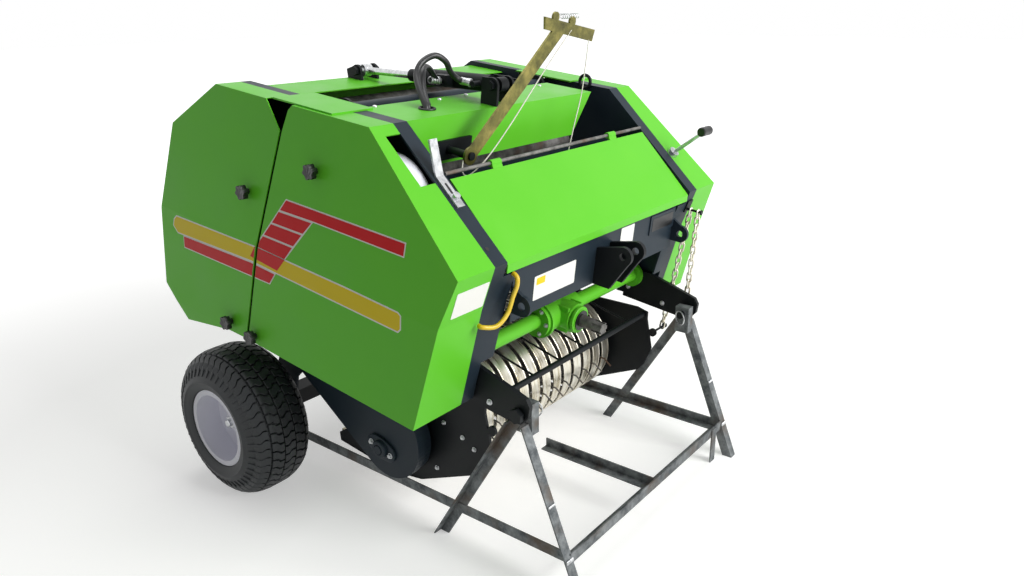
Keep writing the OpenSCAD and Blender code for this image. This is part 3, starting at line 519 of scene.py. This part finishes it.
def tube(name, line, radius, sides=14):
    """A round section swept along a line of points, in the same units as the line."""
    cage = bmesh.new()
    last = len(line) - 1
    ahead_of = [(line[min(i + 1, last)] - line[max(i - 1, 0)]).normalized() for i in range(last + 1)]
    out = ahead_of[0].orthogonal().normalized()
    rings = []
    for point, way in zip(line, ahead_of):
        out = (out - out.dot(way) * way).normalized()
        side = way.cross(out)
        turns = [2 * math.pi * k / sides for k in range(sides)]
        rings.append([cage.verts.new(point + radius * (math.cos(a) * out + math.sin(a) * side))
                      for a in turns])
    for low, high in zip(rings, rings[1:]):
        for k in range(sides):
            cage.faces.new((low[k], low[(k + 1) % sides], high[(k + 1) % sides], high[k]))
    cage.faces.new(list(reversed(rings[0])))
    cage.faces.new(rings[-1])
    mesh = bpy.data.meshes.new(name)
    cage.to_mesh(mesh)
    cage.free()
    piece = bpy.data.objects.new(name, mesh)
    scene.collection.objects.link(piece)
    return piece


def cord_along(name, node, route, radius, slot, body, **facts):
    """A cord on a route in millimetres, in place of the CAD's node where it has one."""
    line = [on_machine(*p) for p in through(route, 8)]
    piece = tube(name, line, radius / 1000)
    dress(piece, slot, CORD_ANGLE)
    if node:
        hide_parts(node)
    if body:
        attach(piece, body)
    return piece, line


HOSE_FRONT = [(-299, -412, 924), (-298, -410, 941), (-284, -374, 972), (-262, -340, 1003),
              (-235, -331, 1030), (-200, -341, 1046), (-170, -351, 1031), (-145, -347, 1003),
              (-122, -352, 984), (-113, -375, 979.5), (-113, -396.6, 979.5)]
HOSE_REAR = [(-283, -403, 924), (-282, -401, 939), (-265, -373, 958), (-243, -344, 981),
             (-222, -322, 1005), (-198, -308, 1013), (-170, -298, 1003), (-146, -291, 982),
             (-132, -289, 970), (-121.3, -289, 968.5)]
HOSE_YELLOW = [(-396, -787.9, 648), (-396, -794, 646.4), (-396, -801, 640), (-399, -804, 624),
               (-406, -801, 599), (-421, -800, 560), (-452, -796, 538), (-484, -783, 541),
               (-484, -771.5, 541)]
STRAND = [(160, -559.8, 1098), (150, -565, 1030), (137, -570, 955), (112, -573, 870), (90, -575, 774)]
for name, node, route in (("loop_hose_front", "hose_front", HOSE_FRONT),
                          ("loop_hose_rear", "hose_rear", HOSE_REAR)):
    hose, line = cord_along(name, node, route, 8, "black_hose", None, far_end="object", stiffness="stiff",
                            lay="hanging")
    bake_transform(hose)
cord_along("corner_hose", "hose_yellow", HOSE_YELLOW, 5.5, "yellow_hose", "chassis", far_end="object",
           stiffness="stiff", lay="hanging")
strand, line = cord_along("twine_to_lid", "twine_strand", STRAND, 1.5, "twine", None, far_end="object",
                          stiffness="limp", lay="taut")
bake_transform(strand)

# %% [markdown]
# The wheels run on turf tyres. The tread is a field of Z-shaped rubber blocks in five rows,
# 48 round the wheel, each row half a block out of step with its neighbour, and the outer rows
# roll over the shoulder into short ribs. The carcass is a profile turned on a lathe, 8 mm
# lower than the tread. The tread's height at each distance from the middle is one table.

# %% Tyre carcass
CROWN = [(0, 218), (30, 217.6), (46, 214.5), (58, 210.5), (70, 203), (81, 191), (92, 173.5), (101, 153)]
BLOCKS_ROUND = 48
GROOVE_DEPTH, BLOCK_ROOT = 8, 1.5
WHEEL_X = 581.5


def crown(x):
    """The tread's radius at a distance from the tyre's middle."""
    for (a, high), (b, low) in zip(CROWN, CROWN[1:]):
        if abs(x) <= b:
            return high + (low - high) * (abs(x) - a) / (b - a)
    return CROWN[-1][1]


half_profile = [(104.2, -79), (113, -83.5), (115.5, -88), (116.5, -92), (121, -95), (132, -98.8),
                (140, -100.4), (141.5, -101.8), (145, -101.6), (147, -100), (155, -97.5), (170, -89.5),
                (184, -79), (196, -67), (205, -52), (209.5, -34)]
carcass_profile = half_profile + [(radius, -height) for radius, height in reversed(half_profile)]
carcass = turned("carcass", carcass_profile, steps=96)
print("carcass:", len(carcass.data.polygons), "faces")

# %% [markdown]
# A tread block starts as a flat Z outline, 34 mm wide, or 28 mm in the two outer rows, and
# gets its height by one extrude, with a root of 1.5 mm that sits in the carcass.
# A bisect gives the outer block extra edges where it bends over the shoulder. Then each
# corner moves to the height the crown has there, and a small bevel rounds the edges.

# %% Tread blocks
def tread_block(name, row_middle, mirrored, width, cuts=()):
    turn = -1 if mirrored else 1
    half = width / 2
    z_shape = [(-half, -16), (-half + 9, -16.5), (-3, -15), (4, -8), (half - 5, -7.5), (half, -9), (half, 15),
               (half - 9, 15.5), (3, 14), (-4, 7), (5 - half, 6.5), (-half, 8)]
    points = [(row_middle + x, turn * y) for x, y in z_shape]
    block = prism(name, points, 0, GROOVE_DEPTH + BLOCK_ROOT)
    for cut in cuts:
        edit(block)
        bpy.ops.mesh.bisect(plane_co=(cut, 0, 0), plane_no=(1, 0, 0))
        bpy.ops.object.mode_set(mode="OBJECT")
    for vertex in block.data.vertices:
        x, y, z = vertex.co
        top = z > 1
        reach = crown(x) if top else crown(x) - GROOVE_DEPTH - BLOCK_ROOT
        vertex.co.z = math.sqrt(reach ** 2 - y ** 2)
    chamfer(block, 1.1, angle=50)
    return block


# Each row: its middle, whether its Z is mirrored, a block's width, and the cuts across it
rows = [(-73, False, 28, (-80, -66)), (-37, True, 34, (-46,)), (0, False, 34, ()), (37, True, 34, (46,)),
        (73, False, 28, (66, 80))]
across_wheel = Matrix(((0, 0, 1, 0), (0, 1, 0, 0), (-1, 0, 0, 0), (0, 0, 0, 1)))
pieces = []
for index, (middle, mirrored, width, cuts) in enumerate(rows):
    block = tread_block(f"block_{index}", middle, mirrored, width, cuts)
    steps = [Matrix.Rotation(2 * math.pi * (k + index % 2 / 2) / BLOCKS_ROUND, 4, "Z") @ across_wheel
             for k in range(BLOCKS_ROUND)]
    pieces += copies(block, steps)
    templates.append(block)
print("tread blocks:", len(pieces))

# %% [markdown]
# The shoulder ribs are thin tapered bars, which start as a cube, lie on the side wall below
# the outer blocks, and fade out towards the rim. Carcass, blocks and ribs become one tyre,
# which is copied to both wheels, turned so that its treads mirror each other.

# %% Shoulder ribs and the finished tyres
rib = begin("cube", "rib", size=1)
for vertex in rib.data.vertices:
    far = vertex.co.x > 0
    vertex.co = (185 if far else 158, vertex.co.y * (11 if far else 5),
                 (85.5 if far else 98.6) + (0 if vertex.co.z > 0 else -6))
chamfer(rib, 1.2, angle=40)
for side in (1, -1):
    flip = Matrix.Scale(side, 4, (0, 0, 1))
    pieces += copies(rib, [flip @ Matrix.Rotation(2 * math.pi * (k + 0.1) / BLOCKS_ROUND, 4, "Z")
                           for k in range(BLOCKS_ROUND)])
templates.append(rib)
whole = merged("tyre", [carcass, *pieces])
edit(whole)
bpy.ops.mesh.normals_make_consistent(inside=False)
bpy.ops.object.mode_set(mode="OBJECT")
for body, side in (("wheel_right", -1), ("wheel_left", 1)):
    tyre, = copies(whole, [facing((side * WHEEL_X, 0, 0), (side, 0, 0))])
    tyre.name = tyre.data.name = "turf_tyre_" + body.split("_")[1]
    settle(tyre, body, "tyre_rubber", smooth=38)
    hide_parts("tyre_" + body.split("_")[1])
templates.append(whole)

# %% [markdown]
# Each hub carries a hexagon nut over a washer on the spindle's end, and the dish has a black
# rubber valve near its edge. The nut is a six-sided prism whose corners are taken off.

# %% Hub nuts and valves
def hex_nut(name, across_flats, height):
    nut = begin("cylinder", name, vertices=6, radius=across_flats / math.sqrt(3), depth=height,
                location=(0, 0, height / 2))
    chamfer(nut, min(across_flats, height) * 0.09, angle=40)
    return nut


washer = turned("washer", [(14, 0), (24, 0), (25, 1), (25, 2.5), (24, 3.5), (14, 3.5)], steps=32)
axle_nut = hex_nut("axle_nut", 34, 15)
lay(axle_nut, Matrix.Translation((0, 0, 3.5)))
spindle_tip = turned("spindle_tip", [(0.01, 18), (11, 18), (11, 26), (9.5, 28), (0.01, 28)], steps=24)
hub_set = merged("hub_set", [washer, axle_nut, spindle_tip])
valve = turned("valve", [(0.01, -4), (8, -4), (8, 0), (5.5, 2), (4.5, 16), (4, 24), (3.2, 26), (0.01, 26)],
               steps=20)
for body, side in (("wheel_right", -1), ("wheel_left", 1)):
    hub, = copies(hub_set, [facing((side * (WHEEL_X + 27.5), 0, 0), (side, 0, 0))])
    hub.name = hub.data.name = "hub_nut_" + body.split("_")[1]
    settle(hub, body, "bright_zinc")
    stem, = copies(valve, [facing((side * (WHEEL_X + 62), -22, 96.5), (side * 0.5, 0.2, -1))])
    stem.name = stem.data.name = "valve_" + body.split("_")[1]
    settle(stem, body, "black_plastic")
templates += [hub_set, valve]

# %% [markdown]
# Both covers carry a printed stripe: a yellow band with a red one under it, and a red ladder
# of five rungs with a long red arm, all edged in white. Each shape is a flat outline in the
# side view. It is cut at the long fold and at the seam between the front and rear covers,
# laid on the sloping skin, and made 0.3 mm thick, so the rear part swings with the tailgate.

# %% Printed stripes
FOLD_HALF, FOLD_HEIGHT = 613, 572
TOP_LEAN, SILL_LEAN = 68 / 361, 19 / 259
FILM_THICK = 0.3


def skin(z):
    """How far the covers' outer face stands from the machine's middle, at a height."""
    if z > FOLD_HEIGHT:
        return FOLD_HALF - (z - FOLD_HEIGHT) * TOP_LEAN
    return FOLD_HALF + (FOLD_HEIGHT - z) * SILL_LEAN


def shrunk(points, distance):
    """The outline moved inwards, each corner along the line between its two edges."""
    moved = []
    area = sum(a[0] * b[1] - b[0] * a[1] for a, b in zip(points, points[1:] + points[:1]))
    turn = 1 if area > 0 else -1
    for before, here, after in zip(points[-1:] + points[:-1], points, points[1:] + points[:1]):
        one = (Vector(here) - Vector(before)).normalized()
        two = (Vector(after) - Vector(here)).normalized()
        middle = turn * (Vector((-one.y, one.x)) + Vector((-two.y, two.x)))
        moved.append(tuple(Vector(here) + middle * 2 * distance / middle.dot(middle)))
    return moved


def printed(name, shapes, lift, side, front):
    """Outlines of (y, z) points laid on one side's covers, before or behind the seam."""
    made = []
    for points in shapes:
        face = outline_face(name, points)
        edit(face)
        bpy.ops.mesh.bisect(plane_co=(0, FOLD_HEIGHT, 0), plane_no=(0, 1, 0))
        bpy.ops.mesh.select_all(action="SELECT")
        bpy.ops.mesh.bisect(plane_co=(-124 if front else -111, 337, 0), plane_no=(0.992, 0.127, 0),
                            clear_outer=front, clear_inner=not front)
        bpy.ops.object.mode_set(mode="OBJECT")
        if not face.data.polygons:
            bpy.data.objects.remove(face)
            continue
        for vertex in face.data.vertices:
            y, z, _ = vertex.co
            vertex.co = (side * (skin(z) + lift), y, z)
        edit(face)
        bpy.ops.mesh.extrude_region_move(TRANSFORM_OT_translate={"value": (side * FILM_THICK, 0, 0)})
        bpy.ops.mesh.select_all(action="SELECT")
        bpy.ops.mesh.normals_make_consistent(inside=False)
        bpy.ops.object.mode_set(mode="OBJECT")
        made.append(face)
    return merged(name, made) if made else None


def print_film(name, hex_code):
    """Printed film: even colour with a soft gloss, a little uneven where it was rubbed on."""
    material, tree, shader, where = new_material(name)
    rubbed = add(tree, "ShaderNodeTexNoise", {"Vector": where, "Scale": per_mm(25), "Detail": 3.0})
    rough = add(tree, "ShaderNodeMapRange", {"Value": rubbed.outputs[0], "To Min": 0.3, "To Max": 0.5})
    tree.links.new(rough.outputs[0], shader.inputs["Roughness"])
    shader.inputs["Base Color"].default_value = colour(hex_code)
    shader.inputs["Specular IOR Level"].default_value = 0.2
    return material


RED = print_film("red_film", "#cc0e16")
GOLD = print_film("yellow_film", "#e0c81e")
WHITE = print_film("white_film", "#e9e9e4")
left_line = [(-236, 718), (-214, 684), (-191, 648), (-166, 611), (-140, 575), (-123, 545)]
right_line = [(-342, 688), (-313, 651), (-285, 613), (-259, 574), (-232, 539)]
arm = [(-236, 718), (-641, 723), (-642, 690), (-342, 688)]
band = [(230, 531), (226, 552), (213, 564), (-136, 576), (-477, 576), (-650, 573), (-660, 567), (-663, 535),
        (-655, 525), (-231, 529), (-125, 531), (207, 514)]
under = [(180, 516), (176, 481), (-205, 494), (-227, 529), (-125, 531)]
white_shapes = [arm + [(-259, 574), (-140, 575)], band, under]
red_shapes = [shrunk(arm + [(-214, 684)], 3.2), shrunk(under, 3.2)]
for k in range(3):
    rung = [left_line[k + 1], right_line[k], right_line[k + 1], left_line[k + 2]]
    red_shapes.append(shrunk(rung, 2.6))
red_shapes.append([left_line[4], right_line[3], right_line[4], left_line[5]])
layers = (("white_edge", white_shapes, 0.1, WHITE), ("yellow_band", [shrunk(band, 3.6)], 0.45, GOLD),
          ("red_ladder", red_shapes, 0.8, RED))
for side, side_name in ((-1, "right"), (1, "left")):
    for front, body in ((True, "chassis"), (False, "tailgate")):
        for name, shapes, lift, finish in layers:
            film = printed(f"{name}_{side_name}_{body}", shapes, lift, side, front)
            if film:
                settle(film, body, "lime_paint", smooth=0, finish=finish)

# %% [markdown]
# The labels are plain white plates, one with a small yellow field. Two are on the front
# panel, and one is on the front face of the right cover. Each is a thin plate with rounded
# corners, laid on its sheet. Beside them sits the small window of the bale counter.

# %% Blank labels and the counter
PANEL_FACE = -782


def rounded(name, width, height, radius, low, high):
    """A plate with rounded corners, lying flat."""
    corners = []
    for cx, cy, start in ((1, 1, 0), (-1, 1, 90), (-1, -1, 180), (1, -1, 270)):
        for step in range(5):
            angle = math.radians(start + 22.5 * step)
            corners.append((cx * (width / 2 - radius) + radius * math.cos(angle),
                            cy * (height / 2 - radius) + radius * math.sin(angle)))
    return prism(name, corners, low, high)


def plate_at(name, width, height, centre, normal, upright, finish, lift=0.1, thick=0.5, radius=3):
    """A rounded plate laid on a face of the machine, and dressed."""
    out = Vector(normal).normalized()
    top = Vector(upright).normalized()
    sideways = top.cross(out)
    plate = rounded(name, width, height, radius, lift, lift + thick)
    turned_to = Matrix((sideways, top, out)).transposed().to_4x4()
    lay(plate, Matrix.Translation(centre) @ turned_to)
    return settle(plate, "chassis", "black_plastic", smooth=0, finish=finish)


plate_at("panel_label", 172, 62, (-216, PANEL_FACE, 580), FRONT, UP, WHITE)
plate_at("panel_label_field", 34, 18, (-276, PANEL_FACE - 0.6, 596), FRONT, UP, GOLD, thick=0.2, radius=1)
plate_at("counter_label", 68, 72, (112, PANEL_FACE, 610), FRONT, UP, WHITE)
face_out = Vector((0, -113, -29)).normalized()
face_up = Vector((0, -29, 113)).normalized()
plate_at("cover_label", 104, 66, (-529, -780.3, 619), face_out, face_up, WHITE)
plate_at("counter_frame", 140, 58, (305, PANEL_FACE, 617), FRONT, UP, BLUE_GREY, thick=3, radius=4)
plate_at("counter_window", 118, 38, (305, PANEL_FACE - 3.1, 617), FRONT, UP, KNOB, radius=2)

# %% [markdown]
# Bolts, nuts and screws sit where the photograph shows a bright dot. One hexagon bolt with
# its washer and one small round-headed screw are made once, each from a cylinder or a turned
# profile, and laid at every place with its own mesh. The list gives the place, the way the
# head points, the size, and the body the bolt rides on.

# %% Bolts and screws
bolt_washer = turned("bolt_washer", [(4, 0), (10.5, 0), (11, 0.5), (11, 1.4), (10.5, 1.9), (4, 1.9)],
                     steps=24)
bolt_head = hex_nut("bolt_head", 14, 6)
lay(bolt_head, Matrix.Translation((0, 0, 1.9)))
bolt_tip = turned("bolt_tip", [(0.01, 7.5), (4, 7.5), (4, 9.4), (3.3, 10.2), (0.01, 10.2)], steps=16)
bolt = merged("bolt", [bolt_washer, bolt_head, bolt_tip])
screw = turned("screw", [(0.01, -0.4), (6, -0.4), (6, 1), (5, 2.6), (2.6, 3.6), (0.01, 3.8)], steps=20)
templates += [bolt, screw]
ARM_OUTSIDE, ARM_INSIDE = 426.1, 413.9
DRIVE_Y, DRIVE_Z = -655, 385
REEL_Y, REEL_Z = -458, 60
FLANGE_FACE, FLANGE_BOLTS = -100.1, 37
bolt_places = {"chassis": [], "pickup": []}
for side, way in ((-1, RIGHT), (1, LEFT)):
    for y, z in ((-611, 178), (-596, 31), (-717, 147), (-676, 163)):
        bolt_places["pickup"].append(((side * 400, y, z), way, 0.62))
    for y, z in ((-774, 322), (-655, 385), (-648, 338), (-600, 322)):
        bolt_places["chassis"].append(((side * ARM_OUTSIDE, y, z), way, 0.72))
        bolt_places["chassis"].append(((side * ARM_INSIDE, y, z), (-side, 0, 0), 0.72))
for angle in range(0, 360, 60):
    spoke = Vector((0, math.cos(math.radians(angle)), math.sin(math.radians(angle))))
    hub_middle = Vector((FLANGE_FACE, DRIVE_Y, DRIVE_Z))
    bolt_places["chassis"].append((hub_middle + FLANGE_BOLTS * spoke, RIGHT, 0.6))
for y, z in ((REEL_Y + 36, REEL_Z + 6), (REEL_Y - 36, REEL_Z - 6)):
    bolt_places["pickup"].append(((-474.1, y, z), RIGHT, 0.75))
for body, places in bolt_places.items():
    group = copies(bolt, [facing(at, way, size=size) for at, way, size in places])
    settle(merged("bolts_on_" + body, group), body, "bright_zinc")
screw_places = [(-383, -322, 933.4), (-172, -338, 933.4), (160, -330, 933.4), (-60, -330, 933.4),
                (260, -340, 933.4)]
hood_screws = merged("hood_screws", copies(screw, [facing(at, UP) for at in screw_places]))
settle(hood_screws, "chassis", "bright_zinc")

# %% [markdown]
# The knobs that hold the covers shut are six-lobed star grips of black plastic on a short
# neck. A cylinder is squeezed between its lobes, its edges are rounded, and the middle of the
# face is inset and pushed in. The right chain case carries an oval flanged bearing.

# %% Star grips and the bearing
GRIP_REACH, LOBES, LOBE_RISE = 17.4, 6, 2.2
grip = begin("cylinder", "grip", vertices=48, radius=1, depth=16, location=(0, 0, 17))
for vertex in grip.data.vertices:
    angle = math.atan2(vertex.co.y, vertex.co.x)
    reach = GRIP_REACH + LOBE_RISE * math.cos(LOBES * angle)
    vertex.co.x = reach * math.cos(angle)
    vertex.co.y = reach * math.sin(angle)
edit(grip)
pick("FACE", lambda at, normal: normal.z > 0.9)
bpy.ops.mesh.inset(thickness=7)
bpy.ops.transform.translate(value=(0, 0, -2.5))
bpy.ops.object.mode_set(mode="OBJECT")
chamfer(grip, 1.6, segments=2, angle=40)
neck = turned("neck", [(0.01, 0), (8, 0), (8, 3), (10.5, 6), (11, 10), (0.01, 10)], steps=24)
star = merged("star", [grip, neck])
templates.append(star)
for node, body, spots in (("knobs", "chassis", ((-329, 806), (-150, 335))),
                          ("gate_knobs", "tailgate", ((-89, 702), (-46, 340)))):
    grips = []
    for side in (-1, 1):
        grips += copies(star, [facing((side * (skin(z - 8) + 0.1), y, z), (side, 0, 0), 0.3)
                               for y, z in spots])
    group = settle(merged("star_" + node, grips), body, "black_plastic")
    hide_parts(node)
flange_points = []
for k in range(40):
    angle = 2 * math.pi * k / 40
    reach = 31 + 21 * abs(math.cos(angle)) ** 3
    flange_points.append((reach * math.cos(angle), reach * math.sin(angle)))
bearing = prism("bearing", flange_points, 0, 8)
chamfer(bearing, 1.5, segments=2)
cap = turned("cap", [(0.01, 8), (25, 8), (25, 16), (23, 19), (15, 19.5), (14, 17), (13, 17), (12.5, 21),
                     (0.01, 21)], steps=40)
bearing = merged("case_bearing", [bearing, cap])
facing_right = Matrix(((0, 0, -1, 0), (1, 0, 0, 0), (0, -1, 0, 0), (0, 0, 0, 1)))
lay(bearing, Matrix.Translation((-466, REEL_Y, REEL_Z)) @ facing_right
    @ Matrix.Rotation(math.radians(-10), 4, "Z"))
settle(bearing, "pickup", "blue_grey_paint")

# %% [markdown]
# The curved bands between the tines have rolled edges: a thin round bead runs along both
# edges of each band, down the front and back under it, and catches the light. The gearbox
# gets a dark seal and a ring on its nose, a breather on top and two cast ribs on each side.

# %% Band edges and gearbox trim
BAND_COUNT, BAND_PITCH, BAND_HALF = 14, 53.5, 16.6
BAND_Y, BAND_Z, BAND_RADIUS = -475, 106, 158.6
band_line = [Vector((0, -200 - 12 * k, BAND_Z + BAND_RADIUS)) for k in range(0, 22, 3)]
for k in range(31):
    angle = math.radians(92 + 176 * k / 30)
    around = BAND_RADIUS * Vector((0, math.cos(angle), math.sin(angle)))
    band_line.append(Vector((0, BAND_Y, BAND_Z)) + around)
band_line += [Vector((0, -460 + 12 * k, BAND_Z - BAND_RADIUS)) for k in range(0, 21, 4)]
beads = []
for index in range(BAND_COUNT):
    middle = (index - (BAND_COUNT - 1) / 2) * BAND_PITCH
    for edge in (-BAND_HALF, BAND_HALF):
        beads.append(tube("bead", [point + Vector((middle + edge, 0, 0)) for point in band_line], 2.4, 6))
settle(merged("band_beads", beads), "pickup", "yellow_zinc", smooth=60)
seal = turned("seal", [(17.7, 0), (27, 0), (28.5, 1.5), (28.5, 3), (17.7, 3)], steps=40)
lay(seal, facing((0, -738, DRIVE_Z), FRONT))
settle(seal, "chassis", "black_plastic")
nose_ring = turned("nose_ring", [(32, 0), (37, 0), (38.5, 1.5), (38.5, 8), (37, 9.5), (32, 9.5)], steps=48)
lay(nose_ring, facing((0, -727, DRIVE_Z), FRONT))
settle(nose_ring, "chassis", "lime_paint")
breather = turned("breather", [(0.01, 0), (8, 0), (8, 6), (5, 7), (5, 10), (9, 12), (9, 16), (7, 18),
                               (0.01, 18)], steps=24)
lay(breather, Matrix.Translation((-20, DRIVE_Y, 428)))
settle(breather, "chassis", "bright_zinc")
ribs = []
for side in (-1, 1):
    for rise in (-30, 30):
        rib_bar = begin("cube", "rib_bar", size=1, scale=(8, 62, 14), location=(0, -31, 0))
        chamfer(rib_bar, 2)
        lay(rib_bar, Matrix.Translation((side * 30, DRIVE_Y, DRIVE_Z + rise)))
        ribs.append(rib_bar)
settle(merged("gearbox_ribs", ribs), "chassis", "lime_paint")

# %% [markdown]
# The hoses end in pressed steel ferrules with a hexagon nut, and pass a rubber grommet in the
# hood. The twine has a second strand that hangs slack along the arm, and the arm's head
# carries a small coil spring. The crank has a black plastic grip.

# %% Hose fittings and twine trim
ferrule = turned("ferrule", [(8.2, 0), (10.6, 0), (11, 1), (11, 7), (10.2, 8.5), (11, 10), (11, 17),
                             (10.2, 18.5), (11, 20), (11, 26), (9, 28), (8.2, 28)], steps=28)
port_nut = hex_nut("port_nut", 22, 12)
lay(port_nut, Matrix.Translation((0, 0, -12.5)))
fitting = merged("fitting", [ferrule, port_nut])
templates.append(fitting)
ends = [facing((-113, -381, 979.5), (0, 1, 0), size=0.9),
        facing((-134, -289, 970.6), (-11, 0, 1.5), size=0.9)]
settle(merged("hose_fittings", copies(fitting, ends)), "barrel", "bright_zinc")
grommet = begin("torus", "grommet", major_radius=19, minor_radius=3.2, major_segments=40, minor_segments=12,
                location=(-290, -407, 934.5))
settle(grommet, "chassis", "black_hose")
SLACK = [(78, -557, 1126), (18, -556, 1070), (-70, -557, 985), (-150, -559, 908), (-235, -562, 838),
         (-298, -563, 806), (-322, -560, 814), (-313, -551, 840)]
slack, line = cord_along("slack_twine", None, SLACK, 1.5, "twine", None, far_end="object",
                         stiffness="limp", lay="hanging")
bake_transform(slack)
coil = [Vector((30 + 1.1 * k, -552 + 6 * math.cos(k * 0.7), 1160 + 6 * math.sin(k * 0.7))) for k in range(70)]
settle(tube("head_spring", coil, 1.1, 8), "twine_swing", "bright_zinc", smooth=60)
sleeve = turned("sleeve", [(0.01, -26), (11, -26), (13.5, -24), (13.8, -10), (13, 0), (13.8, 10),
                           (13.5, 24), (11, 26), (0.01, 26)], steps=32)
lay(sleeve, facing((490, -784, 856), LEFT))
settle(sleeve, "chassis", "black_plastic")

# %% [markdown]
# Small marks of making: weld beads on the stand's front legs and a wire ring through each hitch
# pin. The slot in the lever's foot and a drilled hole in the front strip are thin black plates,
# painted shade where the openings are. A bead is a sphere, squashed and laid in a short row.
# The stand is level, so the beads are placed in the world and not in the pitched frame.

# %% Welds, rings and painted shade in a slot and a hole
drop = begin("uv_sphere", "drop", segments=14, ring_count=8, radius=1)
templates.append(drop)
drops = []
for side in (-1, 1):
    for y, z in ((-559.5, 231), (-612.5, 100), (-612.5, 104), (-478.5, 408)):
        for k in range(6):
            place = Vector((side * (409 + 4 * k), y, z)) / 1000
            drops.append(Matrix.Translation(place) @ Matrix.Diagonal((0.0035, 0.003, 0.0036, 1)))
welds = merged("stand_welds", copies(drop, drops))
settle(welds, "chassis", "bright_zinc", world=True)
rings = []
for side in (-1, 1):
    ring = begin("torus", "ring", major_radius=21, minor_radius=1.7, major_segments=36, minor_segments=8)
    lay(ring, facing((side * 368, -861, 316), (side * 0.9, -0.45, 0.1)))
    rings.append(ring)
settle(merged("pin_rings", rings), "chassis", "bright_zinc")
slope_out = Vector((0, -248, 319)).normalized()
slope_down = Vector((0, -319, -248)).normalized()
slot_points = [(3 * math.cos(math.radians(a)), (12 if a < 180 else -12) + 3 * math.sin(math.radians(a)))
               for a in range(0, 360, 20)]
# A thin black plate in the slot's outline: painted shade in the slot, which is not cut.
slot_shade = prism("lever_slot_shade", slot_points, 0, 0.5)
on_slope = Matrix((RIGHT, slope_down, slope_out)).transposed().to_4x4()
lay(slot_shade, Matrix.Translation((-452, -635, 817.2)) @ on_slope)
settle(slot_shade, "chassis", "black_plastic", smooth=0)
# A thin black disc on the strip: painted shade in the drilled hole, which is not cut.
hole_shade = turned("strip_hole_shade", [(0.01, 0), (5, 0), (5, 0.5), (0.01, 0.5)], steps=24)
lay(hole_shade, facing(Vector((-460, -478, 933)) + slope_down * 358 + slope_out * 0.1, slope_out))
settle(hole_shade, "chassis", "black_plastic", smooth=0)

# %% [markdown]
# The lift chain is zinc-plated steel: oval links bent from round wire, each turned a quarter
# against its neighbours so that they hook into each other. One link starts as a torus, whose
# halves are moved apart to make its straight sides. The long strand holds up the pickup; it is
# laid in the world and rides on no body. The short tail hangs free.

# %% Lift chain
LINK_WIRE, LINK_BEND, LINK_HALF, LINK_PITCH = 3, 7, 14.3, 23.4
CHAIN_X, CHAIN_TOP, CHAIN_FOOT = 457, Vector((-797, 628)), Vector((-765.7, 219.5))
TAIL_TOP, TAIL_FOOT = Vector((-821, 628)), Vector((-831, 360))
link = begin("torus", "chain_link", major_segments=22, minor_segments=8, major_radius=LINK_BEND,
             minor_radius=LINK_WIRE - 0.1)
for vertex in link.data.vertices:
    vertex.co.x += math.copysign(LINK_HALF - LINK_BEND, vertex.co.x)


def strand_of_links(name, top, foot):
    """Links from one point to another in the plane of y and z, and their places."""
    span = foot - top
    count = 2 * round(span.length / LINK_PITCH / 2)
    along = Matrix.Rotation(math.atan2(span.y, span.x), 4, "X") @ Matrix.Rotation(math.pi / 2, 4, "Z")
    spots = [top + span * (k + 0.5) / count for k in range(count)]
    chain = merged(name, copies(link, [
        Matrix.Translation((CHAIN_X, y, z)) @ along @ Matrix.Rotation(math.pi / 2 * (k % 2), 4, "X")
        for k, (y, z) in enumerate(spots)]))
    return chain, [on_machine(CHAIN_X, y, z) for y, z in spots]


tail, spots = strand_of_links("chain_tail", TAIL_TOP, TAIL_FOOT)
settle(tail, "chassis", "yellow_zinc", smooth=CORD_ANGLE)
lifting, spots = strand_of_links("lifting_strand", CHAIN_TOP, CHAIN_FOOT)
lay(lifting, MACHINE)
dress(lifting, "yellow_zinc", CORD_ANGLE)
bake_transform(lifting)
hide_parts("lift_chain")
templates.append(link)
print("lift chain:", len(spots), "links in the lifting strand")

# %% Remove the templates
for template in templates:
    bpy.data.objects.remove(template)
